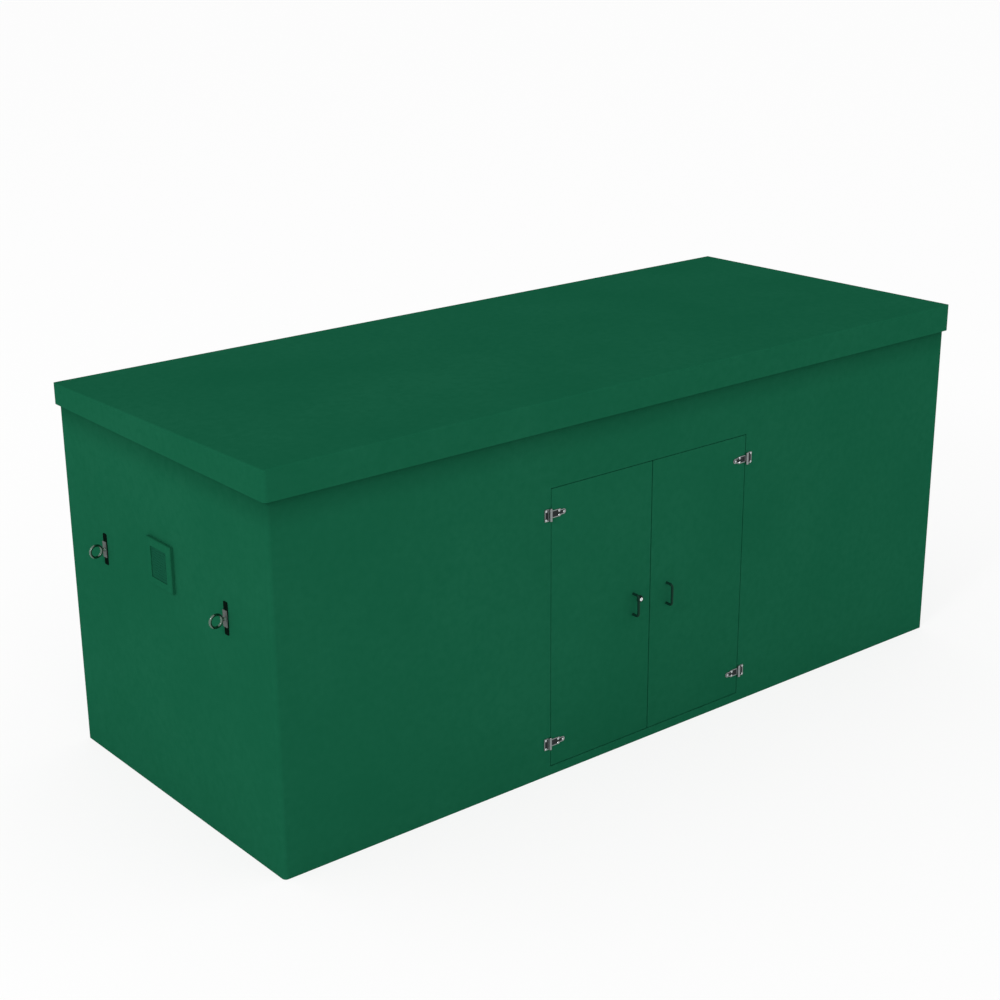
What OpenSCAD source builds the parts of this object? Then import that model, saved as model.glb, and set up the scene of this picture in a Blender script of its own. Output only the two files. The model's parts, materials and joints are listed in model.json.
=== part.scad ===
// Roadside utility cabinet: a moulded box without a floor that stands on a plinth, with a
// sloping lift-off roof cover, two flush doors in the front wall, a vent in each end wall and
// four lifting eyes. Millimetres; X runs along the length, the front faces -Y and Z is up.
// The origin is the middle of the foot flange's underside.

/* [Body] */
// Length over the two end walls
body_length = 3000; // [2600:10:3600]
// Depth over the front and rear walls
body_depth = 1258; // [1150:2:1500]
// Height of the roof skirt's lower edge above the ground
skirt_height = 1218; // [1160:2:1400]
// Thickness of the moulded walls
wall = 8; // [6:0.5:10]
// Outside radius of the upright corners
corner_r = 14; // [12:1:30]
// Width of the foot flange, from the outside of the wall inwards
foot_width = 90; // [82:1:130]
// Thickness of the foot flange
foot_thick = 10; // [6:0.5:16]
// How far the walls rise behind the roof skirt
wall_rise = 30; // [20:1:36]
// Width of the top flange, from the outside of the wall inwards
top_width = 60; // [56:1:66]
// Thickness of the top flange
top_thick = 8; // [6:0.5:12]
// Width of an upright stiffener inside the walls
stiffener_width = 60; // [40:1:100]
// Depth of an upright stiffener, from the inside of the wall
stiffener_depth = 28; // [15:1:40]

/* [Foot fixing] */
// Diameter of the anchor holes in the foot flange
anchor_d = 14; // [10:1:20]
// Distance of the anchor holes from the outside of the walls
anchor_inset = 66; // [64:1:70]

/* [Roof] */
// Height of the roof cover at the front, from the skirt's lower edge
roof_front = 99; // [80:1:130]
// Height of the roof cover at the rear, from the skirt's lower edge
roof_rear = 72; // [66:1:79]
// How far the roof cover stands out beyond the walls
overhang = 12; // [9:0.5:20]
// Thickness of the roof skirt
skirt_thick = 7; // [4:0.5:8]
// Thickness of the roof's top skin
roof_skin = 8; // [5:0.5:12]
// Width of the roof's landing rim, from the outside of the skirt inwards
roof_rim = 84; // [80:1:120]
// Width of a rib under the roof skin
roof_rib_width = 70; // [40:1:120]
// Radius of the roof's upper edges
roof_edge_r = 6; // [2:0.5:10]
// Thickness of the seal between the top flange and the roof
roof_seal_thick = 4; // [2:0.5:6]
// Width of the roof seal
roof_seal_width = 40; // [38:1:44]
// Distance of the roof bolts from the outside of the walls
roof_bolt_inset = 40; // [38:1:42]
// Distance of the outermost roof bolts from the ends of the long walls
roof_bolt_end = 130; // [100:5:160]
// Spacing of the two roof bolts along each end wall
roof_bolt_pair = 400; // [200:10:600]

/* [Doorway] */
// Width of the doorway in the front wall
opening_width = 890; // [860:2:980]
// Height of the doorway
opening_height = 989; // [900:1:1040]
// Height of the doorway's lower edge above the ground
sill = 32; // [28:1:60]
// Thickness of the frame moulded round the doorway
frame_thick = 8; // [6:0.5:12]
// Width of the stop lip at the back of the frame
lip_width = 25; // [22:1:30]
// Thickness of the stop lip
lip_thick = 6; // [4:0.5:10]

/* [Doors] */
// Thickness of a door leaf
door_thick = 34; // [30:1:40]
// Gap between a leaf and the frame
door_gap = 2.25; // [2:0.25:4]
// Gap between the two leaves
meeting_gap = 3; // [2.5:0.25:5]
// Slope of the leaf's edges, so that the back is smaller than the face
draft_angle = 3; // [2:0.5:5]
// Thickness of a leaf in its recessed panels
door_skin = 9; // [6:0.5:14]
// Width of the stile at the meeting edge
meeting_stile = 140; // [130:1:160]
// Width of the stile at the hinged edge
hinge_stile = 92; // [90:1:120]
// Height of the rails at the top and bottom of a leaf
end_rail = 90; // [60:1:140]
// Height of the middle rail
middle_rail = 120; // [60:1:180]
// Corner radius of the recessed panels
panel_r = 24; // [10:1:40]

/* [Seals] */
// Thickness of the door seal on the stop lip
door_seal_thick = 10; // [6:0.5:14]
// Width of the door seal
door_seal_width = 10; // [6:0.5:12]
// Distance of the door seal's outer edge from the doorway's edge
door_seal_inset = 7; // [6:0.5:9]
// Play between the door seal and the closed leaves
seal_play = 0.3; // [0.3:0.1:1]
// How deep the meeting seal sits behind the face of the leaf
meeting_seal_depth = 10; // [8:1:14]
// Width of the meeting seal, front to back
meeting_seal_width = 10; // [6:1:12]

/* [Hinges] */
// Distance of the hinge pins outside the doorway's edges
pin_side = 4; // [3:0.5:8]
// Diameter of a hinge pin
pin_d = 5; // [4:0.5:6]
// Outside diameter of a hinge knuckle, which is also how far it stands out
knuckle_d = 10; // [9:0.5:12]
// Thickness of the hinge leaves
hinge_thick = 2.5; // [1.5:0.25:3.5]
// Height of a hinge
hinge_height = 42; // [38:1:60]
// Width of the leaf on the wall, from the pin
wall_leaf = 24; // [21:1:32]
// Length of the leaf on the door, from the pin
door_leaf = 65; // [60:1:75]
// Height of the wide part of the leaf on the door
door_leaf_height = 26; // [24:1:34]
// How far the wide part reaches from the pin
door_leaf_wide = 42; // [39:1:46]
// Height of the narrow end of the leaf on the door
door_leaf_end = 18; // [14:1:20]
// Height of the middle knuckle, which belongs to the door
middle_knuckle = 18; // [12:1:22]
// Play above and below the middle knuckle
knuckle_play = 0.4; // [0.3:0.1:0.8]
// Distance of the hinges from the top and bottom of the doorway
hinge_inset = 88; // [70:1:120]

/* [Handles] */
// Spacing of a handle's two legs
handle_pitch = 75; // [60:1:120]
// Distance of the grip's middle from the face of the door
handle_reach = 28; // [24:1:45]
// Diameter of the handle bar
handle_d = 9; // [8:0.5:12]
// Bend radius of the handle bar
handle_bend = 11; // [9:0.5:14]
// Distance of the handles from the middle of the doorway
handle_side = 78; // [72:1:90]
// Height of the handles' middle above the ground
handle_height = 524; // [500:1:560]

/* [Lock] */
// Distance of the lock from the middle of the doorway, on the left leaf
lock_side = 48; // [44:1:52]
// Height of the lock above the ground
lock_height = 536; // [520:1:550]
// Diameter of the lock barrel
barrel_d = 18; // [16:0.5:20]
// How far the barrel stands out of the face of the door
barrel_out = 9; // [7:0.5:12]
// Outside diameter of the black bezel
bezel_d = 25; // [23:0.5:28]
// How far the bezel stands out
bezel_out = 5; // [3:0.5:6]
// Diameter of the turning core
core_d = 12; // [10:0.5:13]
// Width of the lock's nut across its flats
lock_nut_af = 26; // [24:1:30]
// Thickness of the lock's nut
lock_nut_thick = 5; // [4:0.5:6]
// Length of the cam from the lock's middle
cam_length = 70; // [64:1:76]
// Width of the cam
cam_width = 18; // [16:1:22]
// Thickness of the cam
cam_thick = 3; // [2:0.5:4]
// How far the cam sits behind the leaf
cam_stand = 9; // [8:0.5:11]
// Width of the keeper on the right leaf
keeper_width = 30; // [28:1:36]
// Height of the keeper
keeper_height = 44; // [40:1:60]
// Distance of the keeper from the middle of the doorway
keeper_side = 6; // [5:0.5:8]
// Play between the cam and the keeper
cam_play = 0.5; // [0.4:0.1:1]
// Diameter of the core's stub that carries the cam
stub_d = 7; // [6:0.5:8]
// Height of the head that holds the cam on the core
stub_head = 3; // [2:0.5:4]

/* [Right leaf bolts] */
// Distance of the sliding rods from the middle of the doorway
rod_side = 58; // [56:1:64]
// Diameter of a sliding rod
rod_d = 10; // [8:0.5:12]
// Distance of the rod's middle from the back of the leaf
rod_stand = 26; // [25:0.5:30]
// Length of a rod
rod_length = 120; // [112:1:160]
// How far a rod slides to engage behind the stop lip
rod_travel = 18; // [14:1:20]
// Gap between the withdrawn rod's end and the stop lip
rod_gap = 4; // [3:0.5:6]
// Height of a rod guide
guide_height = 84; // [80:1:94]
// Distance of a rod guide from the withdrawn rod's end
guide_drop = 12; // [6:1:14]
// Width of a rod guide
guide_width = 30; // [28:1:34]
// Thickness of a rod guide's plate
guide_thick = 4; // [3:0.5:6]
// Height of each of the guide's two lugs
lug_height = 14; // [12:1:16]
// Diameter of the knob on a rod
knob_d = 8; // [6:0.5:10]
// Play between the knob and the guide's lug when the rod is withdrawn
rod_stop_play = 0.3; // [0.3:0.1:1]
// How far the knob stands out of the rod
knob_out = 20; // [14:1:26]

/* [Vents] */
// Height of the vents' middle above the ground
vent_height = 840; // [800:1:900]
// Width of the vent frame
vent_width = 148; // [144:1:180]
// Height of the vent frame
vent_tall = 155; // [150:1:190]
// How far the vent frame stands out of the wall
vent_out = 13; // [10:0.5:18]
// Width of the recess in the vent frame
recess_width = 96; // [94:1:110]
// Height of the recess
recess_tall = 105; // [103:1:120]
// Depth of the recess down to the screen
recess_depth = 3; // [2:0.5:6]
// Width of the air passage behind the screen
passage_width = 84; // [80:1:86]
// Height of the air passage
passage_tall = 93; // [88:1:95]
// Thickness of the collar that passes through the wall
vent_collar = 3; // [2:0.25:4]
// Bevel of the vent frame's outer edges
vent_bevel = 3; // [1:0.5:5]
// Thickness of the screen
screen_thick = 2; // [1:0.5:2.5]
// Diameter of the holes in the screen
screen_hole_d = 3.2; // [2:0.2:4]
// Number of holes across the screen
screen_columns = 10; // [6:1:10]
// Number of holes up the screen
screen_rows = 11; // [6:1:11]

/* [Lifting eyes] */
// Spacing of the two lifting eyes on an end wall
eye_spacing = 750; // [600:10:850]
// Height of the lifting eyes above the ground
eye_height = 780; // [700:1:850]
// Outside diameter of the ring
ring_d = 49; // [46:1:50]
// Diameter of the ring's bar
ring_bar = 8.5; // [8:0.25:9.5]
// Width of the flat land inside the ring
ring_land = 4; // [3:0.5:5]
// Distance of the ring's middle from the wall
ring_reach = 36; // [35:0.5:38]
// Height of the eye's foot
eye_foot_height = 55; // [50:1:64]
// Width of the eye's foot
eye_foot_width = 24; // [20:1:28]
// Thickness of the eye's foot
eye_foot_thick = 3; // [2.5:0.5:4.5]
// Height of the black pad under the eye's foot
pad_height = 108; // [104:1:130]
// Width of the pad
pad_width = 22; // [20:1:28]
// Thickness of the pad
pad_thick = 3; // [2:0.5:4.5]
// Height of the backing plate inside the wall
backing_height = 150; // [130:1:180]
// Width of the backing plate
backing_width = 60; // [40:1:80]
// Thickness of the backing plate
backing_thick = 6; // [4:0.5:8]
// Diameter of the eye's stud
stud_d = 12; // [10:1:14]
// Spacing of the two bolts through a pad
pad_bolt_pitch = 82; // [80:1:88]
// Width of the stud's nut across its flats
stud_nut_af = 19; // [17:1:24]
// Thickness of the stud's nut
stud_nut = 10; // [8:0.5:12]

/* [Fastenings] */
// Play of a bolt or screw in its hole, on the radius
hole_play = 0.2; // [0.1:0.05:0.4]
// Play of turning and sliding pieces, on the radius
run_play = 0.1; // [0.05:0.01:0.1]
// Thread diameter of the roof bolts and the pad bolts
bolt_d = 8; // [6:1:8]
// Width of a bolt's head and nut across its flats
bolt_af = 13; // [12:0.5:14]
// Height of a bolt's head and nut
bolt_head = 5.5; // [4:0.5:7]
// How far a roof bolt reaches into the roof rim
roof_bolt_bite = 18; // [12:1:22]
// Thread diameter of the hinge screws
screw_d = 5; // [4:0.5:6]
// Diameter of a hinge screw's domed head
screw_head_d = 9; // [8:0.5:10]
// Height of a hinge screw's domed head
screw_head = 3; // [2:0.25:4]
// Length of a hinge screw in the door
screw_length = 24; // [16:1:26]
// Length of the screws behind the right leaf
inner_screw_length = 18; // [12:1:20]
// How deep a handle screw reaches into the handle's leg
handle_screw_bite = 12; // [8:1:14]
// How far a bolt's end stands out of its nut
bolt_end = 2; // [1:0.5:4]

/* [Hidden] */
$fn = 64;
gap = 1;
paint = "#17593e";
steel = "#b9bdbd";
zinc = "#8d9494";
black = "#0c0f0e";
rubber = "#17191a";

front = -body_depth / 2;
left_end = -body_length / 2;
wall_top = skirt_height + wall_rise;
landing = wall_top + roof_seal_thick;
stop_depth = door_thick + seal_play + door_seal_thick;
frame_depth = stop_depth + lip_thick;
pin_x = opening_width / 2 + pin_side;
pin_y = front - knuckle_d / 2;
head_z = sill + opening_height;
roof_length = body_length + 2 * overhang;
roof_depth = body_depth + 2 * overhang;
roof_slope = atan((roof_front - roof_rear) / roof_depth);
door_outer = opening_width / 2 - door_gap;
draft = door_thick * tan(draft_angle);
cam_depth = door_thick + cam_stand;
keeper_thick = cam_stand - cam_play;
eye_face = pad_thick + eye_foot_thick;
pocket_low = sill + door_gap + end_rail;
pocket_high = head_z - door_gap - end_rail;
middle_low = handle_height - middle_rail / 2;
middle_high = handle_height + middle_rail / 2;
rod_depth = door_thick + rod_stand;
stop_edge_high = head_z - lip_width;
stop_edge_low = sill + lip_width;
ring_bore_r = ring_d / 2 - ring_bar / 2 - sqrt(ring_bar * ring_bar - ring_land * ring_land) / 2;
guide_low = -(rod_gap + guide_drop + guide_height);
knob_z = guide_low + lug_height + rod_stop_play + knob_d / 2;
SIDES = [-1, 1];
LEVELS = [-1, 1];

function side_name(s) = s < 0 ? "left" : "right";
function level_name(v) = v < 0 ? "lower" : "upper";
function hinge_z(v) = v < 0 ? sill + hinge_inset : head_z - hinge_inset;
function roof_z(y) = skirt_height + roof_front - tan(roof_slope) * (y + roof_depth / 2);
function arc(y, z, r, from, to, n = 8) =
    [for (i = [0 : n]) [y + r * cos(from + (to - from) * i / n), z + r * sin(from + (to - from) * i / n)]];

// Places of the roof bolts, clear of the stiffeners between them
roof_bolts_at = concat(
    [for (s = SIDES, i = [-1 : 1]) [i * body_length / 4, s * (body_depth / 2 - roof_bolt_inset)]],
    [for (s = SIDES, t = SIDES)
        [t * (body_length / 2 - roof_bolt_end), s * (body_depth / 2 - roof_bolt_inset)]],
    [for (s = SIDES, t = SIDES) [s * (body_length / 2 - roof_bolt_inset), t * roof_bolt_pair / 2]]
);
// Places of the anchor holes: four corners and three along each long wall
anchors_at = concat(
    [for (s = SIDES, t = SIDES)
        [s * (body_length / 2 - anchor_inset), t * (body_depth / 2 - anchor_inset)]],
    [for (s = SIDES, i = [-1 : 1]) [i * body_length / 4, s * (body_depth / 2 - anchor_inset)]]
);
// Screws of a hinge leaf on the wall and of a hinge leaf on the door, from the pin
wall_screws_at = [for (v = LEVELS)
    [-(wall_leaf - screw_head_d / 2 - gap), v * (hinge_height / 2 - screw_head_d / 2 - gap)]];
door_screws_at = concat(
    [for (v = LEVELS)
        [door_leaf_wide - screw_head_d / 2 - 2 * gap, v * (door_leaf_height / 2 - screw_head_d / 2 - gap)]],
    [[door_leaf - door_leaf_end / 2, 0]]
);
// Screws of the keeper and of the rod guides, as x, height and the thickness they pass through
keeper_screws_at = [for (v = LEVELS) [
    keeper_side + keeper_width - screw_head_d / 2 - 2 * gap,
    lock_height + v * (keeper_height / 2 - screw_head_d / 2 - gap),
    keeper_thick
]];
guide_screws_at = [for (v = LEVELS)
    guide_low + guide_height / 2 + v * (guide_height / 2 - lug_height - screw_head_d)];
inner_screws_at = concat(
    keeper_screws_at,
    [for (z = guide_screws_at) [rod_side, stop_edge_high + z, guide_thick]],
    [for (z = guide_screws_at) [rod_side, stop_edge_low - z, guide_thick]]
);

// Shared shapes

module rounded_rect(x, y, r) {
    square([x - 2 * r, y], center = true);
    square([x, y - 2 * r], center = true);
    for (s = SIDES, t = SIDES)
        translate([s * (x / 2 - r), t * (y / 2 - r)])
            circle(r);
}

// A profile in Y and Z drawn out along X, and one in X and Z drawn out along Y from a face inwards
module along_x(from, to) {
    translate([from, 0, 0])
        rotate([90, 0, 90])
            linear_extrude(to - from)
                children();
}

module along_y(from, to) {
    translate([0, to, 0])
        rotate([90, 0, 0])
            linear_extrude(to - from)
                children();
}

module mirror_to(s) {
    mirror([s > 0 ? 1 : 0, 0, 0])
        children();
}

// Round things that run into the front wall, out of it, or into the left end wall
module into_front(x, depth, z) {
    translate([x, front + depth, z])
        rotate([-90, 0, 0])
            children();
}

module out_of_front(x, depth, z) {
    translate([x, front + depth, z])
        rotate([90, 0, 0])
            children();
}

module into_end(y, depth, z) {
    translate([left_end + depth, y, z])
        rotate([0, 90, 0])
            children();
}

module dome(d, h) {
    r = (d * d / 4 + h * h) / (2 * h);
    rotate_extrude()
        intersection() {
            translate([0, h - r])
                circle(r);
            square([d / 2, h]);
        }
}

// A screw with a domed head, its seat at z = 0 and its point towards +Z
module dome_screw(d, head_d, head, length) {
    mirror([0, 0, 1])
        dome(head_d, head);
    translate([0, 0, -head / 4])
        cylinder(d = d, h = length + head / 4);
}

module hex(af, h) {
    cylinder(d = af / cos(30), h = h, $fn = 6);
}

// A nut that stands at z = grip, run onto the end of a screw
module nut_on(d, af, h, grip) {
    translate([0, 0, grip])
        hex(af, h);
    translate([0, 0, grip - gap])
        cylinder(d = d, h = h + gap + bolt_end);
}

// Body

module flange(z, thick, width) {
    translate([0, 0, z])
        linear_extrude(thick)
            difference() {
                rounded_rect(body_length, body_depth, corner_r);
                square([body_length - 2 * width, body_depth - 2 * width], center = true);
            }
}

module stiffener(x, s) {
    depth = stiffener_depth + wall / 2;
    translate([x, s * (body_depth / 2 - wall / 2 - depth / 2), (foot_thick + wall_top - top_thick) / 2])
        cube([stiffener_width, depth, wall_top - top_thick - foot_thick + 2 * gap], center = true);
}

module doorway_frame() {
    along_y(front + wall / 2, front + frame_depth)
        translate([0, sill + opening_height / 2])
            square([opening_width + 2 * frame_thick, opening_height + 2 * frame_thick], center = true);
}

module doorway_space() {
    translate([0, 0, sill + opening_height / 2]) {
        along_y(front - gap, front + stop_depth)
            square([opening_width, opening_height], center = true);
        along_y(front - gap, front + frame_depth + gap)
            square([opening_width - 2 * lip_width, opening_height - 2 * lip_width], center = true);
    }
}

module end_wall_holes() {
    for (s = SIDES)
        mirror_to(s) {
            translate([0, 0, vent_height])
                along_x(left_end - gap, left_end + wall + gap)
                    vent_square(vent_collar + hole_play);
            for (t = SIDES) {
                into_end(t * eye_spacing / 2, -gap, eye_height)
                    cylinder(d = stud_d + 2 * hole_play, h = wall + 2 * gap);
                for (v = LEVELS)
                    into_end(t * eye_spacing / 2, -gap, eye_height + v * pad_bolt_pitch / 2)
                        cylinder(d = bolt_d + 2 * hole_play, h = wall + 2 * gap);
            }
        }
}

module hinge_wall_holes() {
    for (s = SIDES, v = LEVELS, p = wall_screws_at)
        mirror_to(s)
            into_front(-pin_x + p[0], -gap, hinge_z(v) + p[1])
                cylinder(d = screw_d + 2 * hole_play, h = wall + 2 * gap);
}

module body_shell() {
    color(paint)
        difference() {
            union() {
                linear_extrude(wall_top)
                    difference() {
                        rounded_rect(body_length, body_depth, corner_r);
                        rounded_rect(body_length - 2 * wall, body_depth - 2 * wall, corner_r - wall);
                    }
                flange(0, foot_thick, foot_width);
                flange(wall_top - top_thick, top_thick, top_width);
                for (i = [-1.5 : 1 : 1.5])
                    stiffener(i * body_length / 4, 1);
                for (s = SIDES)
                    stiffener(s * 1.5 * body_length / 4, -1);
                doorway_frame();
            }
            doorway_space();
            end_wall_holes();
            hinge_wall_holes();
            for (p = anchors_at)
                translate([p[0], p[1], -gap])
                    cylinder(d = anchor_d, h = foot_thick + 2 * gap);
            for (p = roof_bolts_at)
                translate([p[0], p[1], wall_top - top_thick - gap])
                    cylinder(d = bolt_d + 2 * hole_play, h = top_thick + 2 * gap);
        }
}

// Roof

module roof_block() {
    y = roof_depth / 2;
    r = roof_edge_r;
    lift = r / cos(roof_slope);
    intersection() {
        translate([0, 0, skirt_height])
            linear_extrude(2 * roof_front)
                rounded_rect(roof_length, roof_depth, corner_r);
        along_x(-roof_length / 2 - gap, roof_length / 2 + gap)
            polygon(concat(
                [[y, skirt_height], [-y, skirt_height]],
                [for (p = arc(-y + r, roof_z(-y + r) - lift, r, 180, 90 - roof_slope)) p],
                [for (p = arc(y - r, roof_z(y - r) - lift, r, 90 - roof_slope, 0)) p]
            ));
    }
}

// Rounds an upper edge at an end of the roof, along the roof's fall
module roof_end_round() {
    r = roof_edge_r;
    translate([-roof_length / 2, 0, roof_z(0)])
        rotate([-roof_slope, 0, 0])
            along_y(-roof_depth, roof_depth)
                difference() {
                    translate([-gap, -r])
                        square([r + gap, r + gap]);
                    translate([r, -r])
                        circle(r);
                }
}

// One hollow under the roof skin, between two ribs
module roof_bay(from, to) {
    y = roof_depth / 2 - roof_rim;
    skin = roof_skin / cos(roof_slope);
    along_x(from, to)
        polygon([[-y, landing - gap], [y, landing - gap], [y, roof_z(y) - skin], [-y, roof_z(-y) - skin]]);
}

module roof_cover() {
    bay = body_length / 4;
    rib = roof_rib_width / 2;
    end = roof_length / 2 - roof_rim;
    color(paint)
        difference() {
            roof_block();
            for (s = SIDES)
                mirror_to(s) {
                    roof_end_round();
                    roof_bay(-end, -bay - rib);
                    roof_bay(-bay + rib, -rib);
                }
            translate([0, 0, skirt_height - gap])
                linear_extrude(landing - skirt_height + gap)
                    rounded_rect(
                        roof_length - 2 * skirt_thick,
                        roof_depth - 2 * skirt_thick,
                        corner_r - skirt_thick
                    );
            for (p = roof_bolts_at)
                translate([p[0], p[1], landing - gap])
                    cylinder(d = bolt_d + 2 * hole_play, h = roof_bolt_bite + 2 * gap);
        }
}

module roof_seal() {
    edge = top_width - roof_seal_width;
    length = body_length - edge;
    depth = body_depth - edge;
    color(rubber)
        translate([0, 0, wall_top])
            linear_extrude(roof_seal_thick)
                difference() {
                    square([length, depth], center = true);
                    square([length - 2 * roof_seal_width, depth - 2 * roof_seal_width], center = true);
                    for (p = roof_bolts_at)
                        translate(p)
                            circle(d = bolt_d + 2 * hole_play);
                }
}

module roof_bolts() {
    color(steel)
        for (p = roof_bolts_at)
            translate([p[0], p[1], wall_top - top_thick]) {
                translate([0, 0, -bolt_head])
                    hex(bolt_af, bolt_head);
                translate([0, 0, -gap])
                    cylinder(d = bolt_d, h = top_thick + roof_seal_thick + roof_bolt_bite + gap);
            }
}

// Doors, drawn as the right leaf and mirrored for the left one

module leaf_block() {
    intersection() {
        translate([0, 0, sill])
            linear_extrude(opening_height)
                polygon([
                    [meeting_gap / 2, front],
                    [door_outer, front],
                    [door_outer - draft, front + door_thick],
                    [meeting_gap / 2 + draft, front + door_thick]
                ]);
        along_x(0, opening_width)
            polygon([
                [front, sill + door_gap],
                [front + door_thick, sill + door_gap + draft],
                [front + door_thick, head_z - door_gap - draft],
                [front, head_z - door_gap]
            ]);
    }
}

module leaf_panel(low, high) {
    from = meeting_gap / 2 + meeting_stile;
    to = door_outer - hinge_stile;
    along_y(front + door_skin, front + door_thick + gap)
        translate([(from + to) / 2, (low + high) / 2])
            rounded_rect(to - from, high - low, panel_r);
}

module leaf() {
    difference() {
        leaf_block();
        leaf_panel(pocket_low, middle_low);
        leaf_panel(middle_high, pocket_high);
        for (v = LEVELS) {
            into_front(handle_side, -gap, handle_height + v * handle_pitch / 2)
                cylinder(d = screw_d + 2 * hole_play, h = door_thick + 2 * gap);
            for (p = door_screws_at)
                into_front(pin_x - p[0], -gap, hinge_z(v) + p[1])
                    cylinder(d = screw_d + 2 * hole_play, h = screw_length + gap);
        }
    }
}

module door_left() {
    color(paint)
        difference() {
            mirror([1, 0, 0])
                leaf();
            into_front(-lock_side, -gap, lock_height)
                cylinder(d = barrel_d + 2 * hole_play, h = door_thick + 2 * gap);
        }
}

module door_right() {
    color(paint)
        difference() {
            leaf();
            for (p = inner_screws_at)
                out_of_front(p[0], door_thick + p[2], p[1])
                    cylinder(d = screw_d + 2 * hole_play, h = inner_screw_length + gap);
        }
}

module door_seal() {
    x = opening_width - 2 * door_seal_inset;
    z = opening_height - 2 * door_seal_inset;
    color(rubber)
        translate([0, 0, sill + opening_height / 2])
            along_y(front + stop_depth - door_seal_thick, front + stop_depth)
                difference() {
                    square([x, z], center = true);
                    square([x - 2 * door_seal_width, z - 2 * door_seal_width], center = true);
                }
}

module meeting_seal() {
    y = front + meeting_seal_depth;
    w = meeting_seal_width;
    inset = meeting_gap / 2 + meeting_seal_depth * tan(draft_angle);
    color(rubber)
        translate([0, 0, sill + door_gap + draft])
            linear_extrude(opening_height - 2 * door_gap - 2 * draft)
                polygon([[-inset, y], [0, y], [0, y + w], [-inset - w * tan(draft_angle), y + w]]);
}

// Hinges, drawn at the left with the pin on the Z axis and the door towards +X

module at_hinge(s, v) {
    mirror_to(s)
        translate([-pin_x, pin_y, hinge_z(v)])
            children();
}

module hinge_hole(p, d) {
    translate([p[0], 0, p[1]])
        rotate([-90, 0, 0])
            cylinder(d = d, h = knuckle_d);
}

module hinge_wall_leaf() {
    r = 3;
    color(steel)
        difference() {
            union() {
                along_y(knuckle_d / 2 - hinge_thick, knuckle_d / 2) {
                    translate([-wall_leaf / 2, 0])
                        rounded_rect(wall_leaf, hinge_height, r);
                    translate([-wall_leaf / 2, -hinge_height / 2])
                        square([wall_leaf / 2, hinge_height]);
                }
                cylinder(d = knuckle_d, h = hinge_height, center = true);
            }
            cylinder(d = knuckle_d + 2 * knuckle_play, h = middle_knuckle + 2 * knuckle_play, center = true);
            cylinder(d = pin_d + 2 * run_play, h = hinge_height + 2 * gap, center = true);
            for (p = wall_screws_at)
                hinge_hole(p, screw_d + 2 * hole_play);
        }
}

module hinge_door_leaf() {
    start = knuckle_d / 2 + 2 * knuckle_play;
    wide = door_leaf_height / 2;
    narrow = door_leaf_end / 2;
    color(steel)
        difference() {
            union() {
                cylinder(d = knuckle_d, h = middle_knuckle, center = true);
                along_y(knuckle_d / 2 - hinge_thick, knuckle_d / 2) {
                    translate([0, -middle_knuckle / 2])
                        square([start + gap, middle_knuckle]);
                    polygon([
                        [start, -wide],
                        [door_leaf_wide - gap, -wide],
                        [door_leaf_wide + wide - narrow - gap, -narrow],
                        [door_leaf - narrow, -narrow],
                        [door_leaf - narrow, narrow],
                        [door_leaf_wide + wide - narrow - gap, narrow],
                        [door_leaf_wide - gap, wide],
                        [start, wide]
                    ]);
                    translate([door_leaf - narrow, 0])
                        circle(narrow);
                }
            }
            cylinder(d = pin_d + 2 * run_play, h = hinge_height, center = true);
            for (p = door_screws_at)
                hinge_hole(p, screw_d + 2 * hole_play);
        }
}

module hinge_pin() {
    head = pin_d / 3;
    color(steel) {
        cylinder(d = pin_d, h = hinge_height + head, center = true);
        for (v = LEVELS)
            mirror([0, 0, v < 0 ? 1 : 0])
                translate([0, 0, hinge_height / 2])
                    dome(knuckle_d - gap, head);
    }
}

module hinge_wall_screws() {
    color(steel)
        for (s = SIDES, v = LEVELS, p = wall_screws_at)
            mirror_to(s)
                into_front(-pin_x + p[0], -hinge_thick, hinge_z(v) + p[1]) {
                    dome_screw(screw_d, screw_head_d, screw_head, hinge_thick + wall);
                    nut_on(screw_d, screw_head_d, screw_head, hinge_thick + wall);
                }
}

module hinge_door_screws(s) {
    color(steel)
        mirror_to(s)
            for (v = LEVELS, p = door_screws_at)
                into_front(-pin_x + p[0], -hinge_thick, hinge_z(v) + p[1])
                    dome_screw(screw_d, screw_head_d, screw_head, screw_length);
}

// Handles

module handle_half() {
    out_of_front(0, 0, handle_pitch / 2)
        cylinder(d = handle_d, h = handle_reach - handle_bend);
    translate([0, front - handle_reach + handle_bend, handle_pitch / 2 - handle_bend])
        rotate([180, -90, 0])
            rotate_extrude(angle = 90)
                translate([handle_bend, 0])
                    circle(d = handle_d);
    translate([0, front - handle_reach, -gap])
        cylinder(d = handle_d, h = handle_pitch / 2 - handle_bend + gap);
}

module handle(s) {
    color(black)
        translate([s * handle_side, 0, handle_height])
            difference() {
                for (v = LEVELS)
                    mirror([0, 0, v < 0 ? 1 : 0])
                        handle_half();
                for (v = LEVELS)
                    out_of_front(0, gap, v * handle_pitch / 2)
                        cylinder(d = screw_d + 2 * hole_play, h = handle_screw_bite + 2 * gap);
            }
}

module handle_screws(s) {
    color(zinc)
        for (v = LEVELS)
            out_of_front(s * handle_side, door_thick, handle_height + v * handle_pitch / 2)
                dome_screw(screw_d, screw_head_d, screw_head, door_thick + handle_screw_bite);
}

// Lock, with the depth into the door along +Z

module at_lock(depth) {
    into_front(-lock_side, depth, lock_height)
        children();
}

module lock_bezel() {
    color(black)
        at_lock(-bezel_out)
            difference() {
                cylinder(d1 = bezel_d - bezel_out / 2, d2 = bezel_d, h = bezel_out);
                translate([0, 0, -gap])
                    cylinder(d = barrel_d + 2 * hole_play, h = bezel_out + 2 * gap);
            }
}

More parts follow.
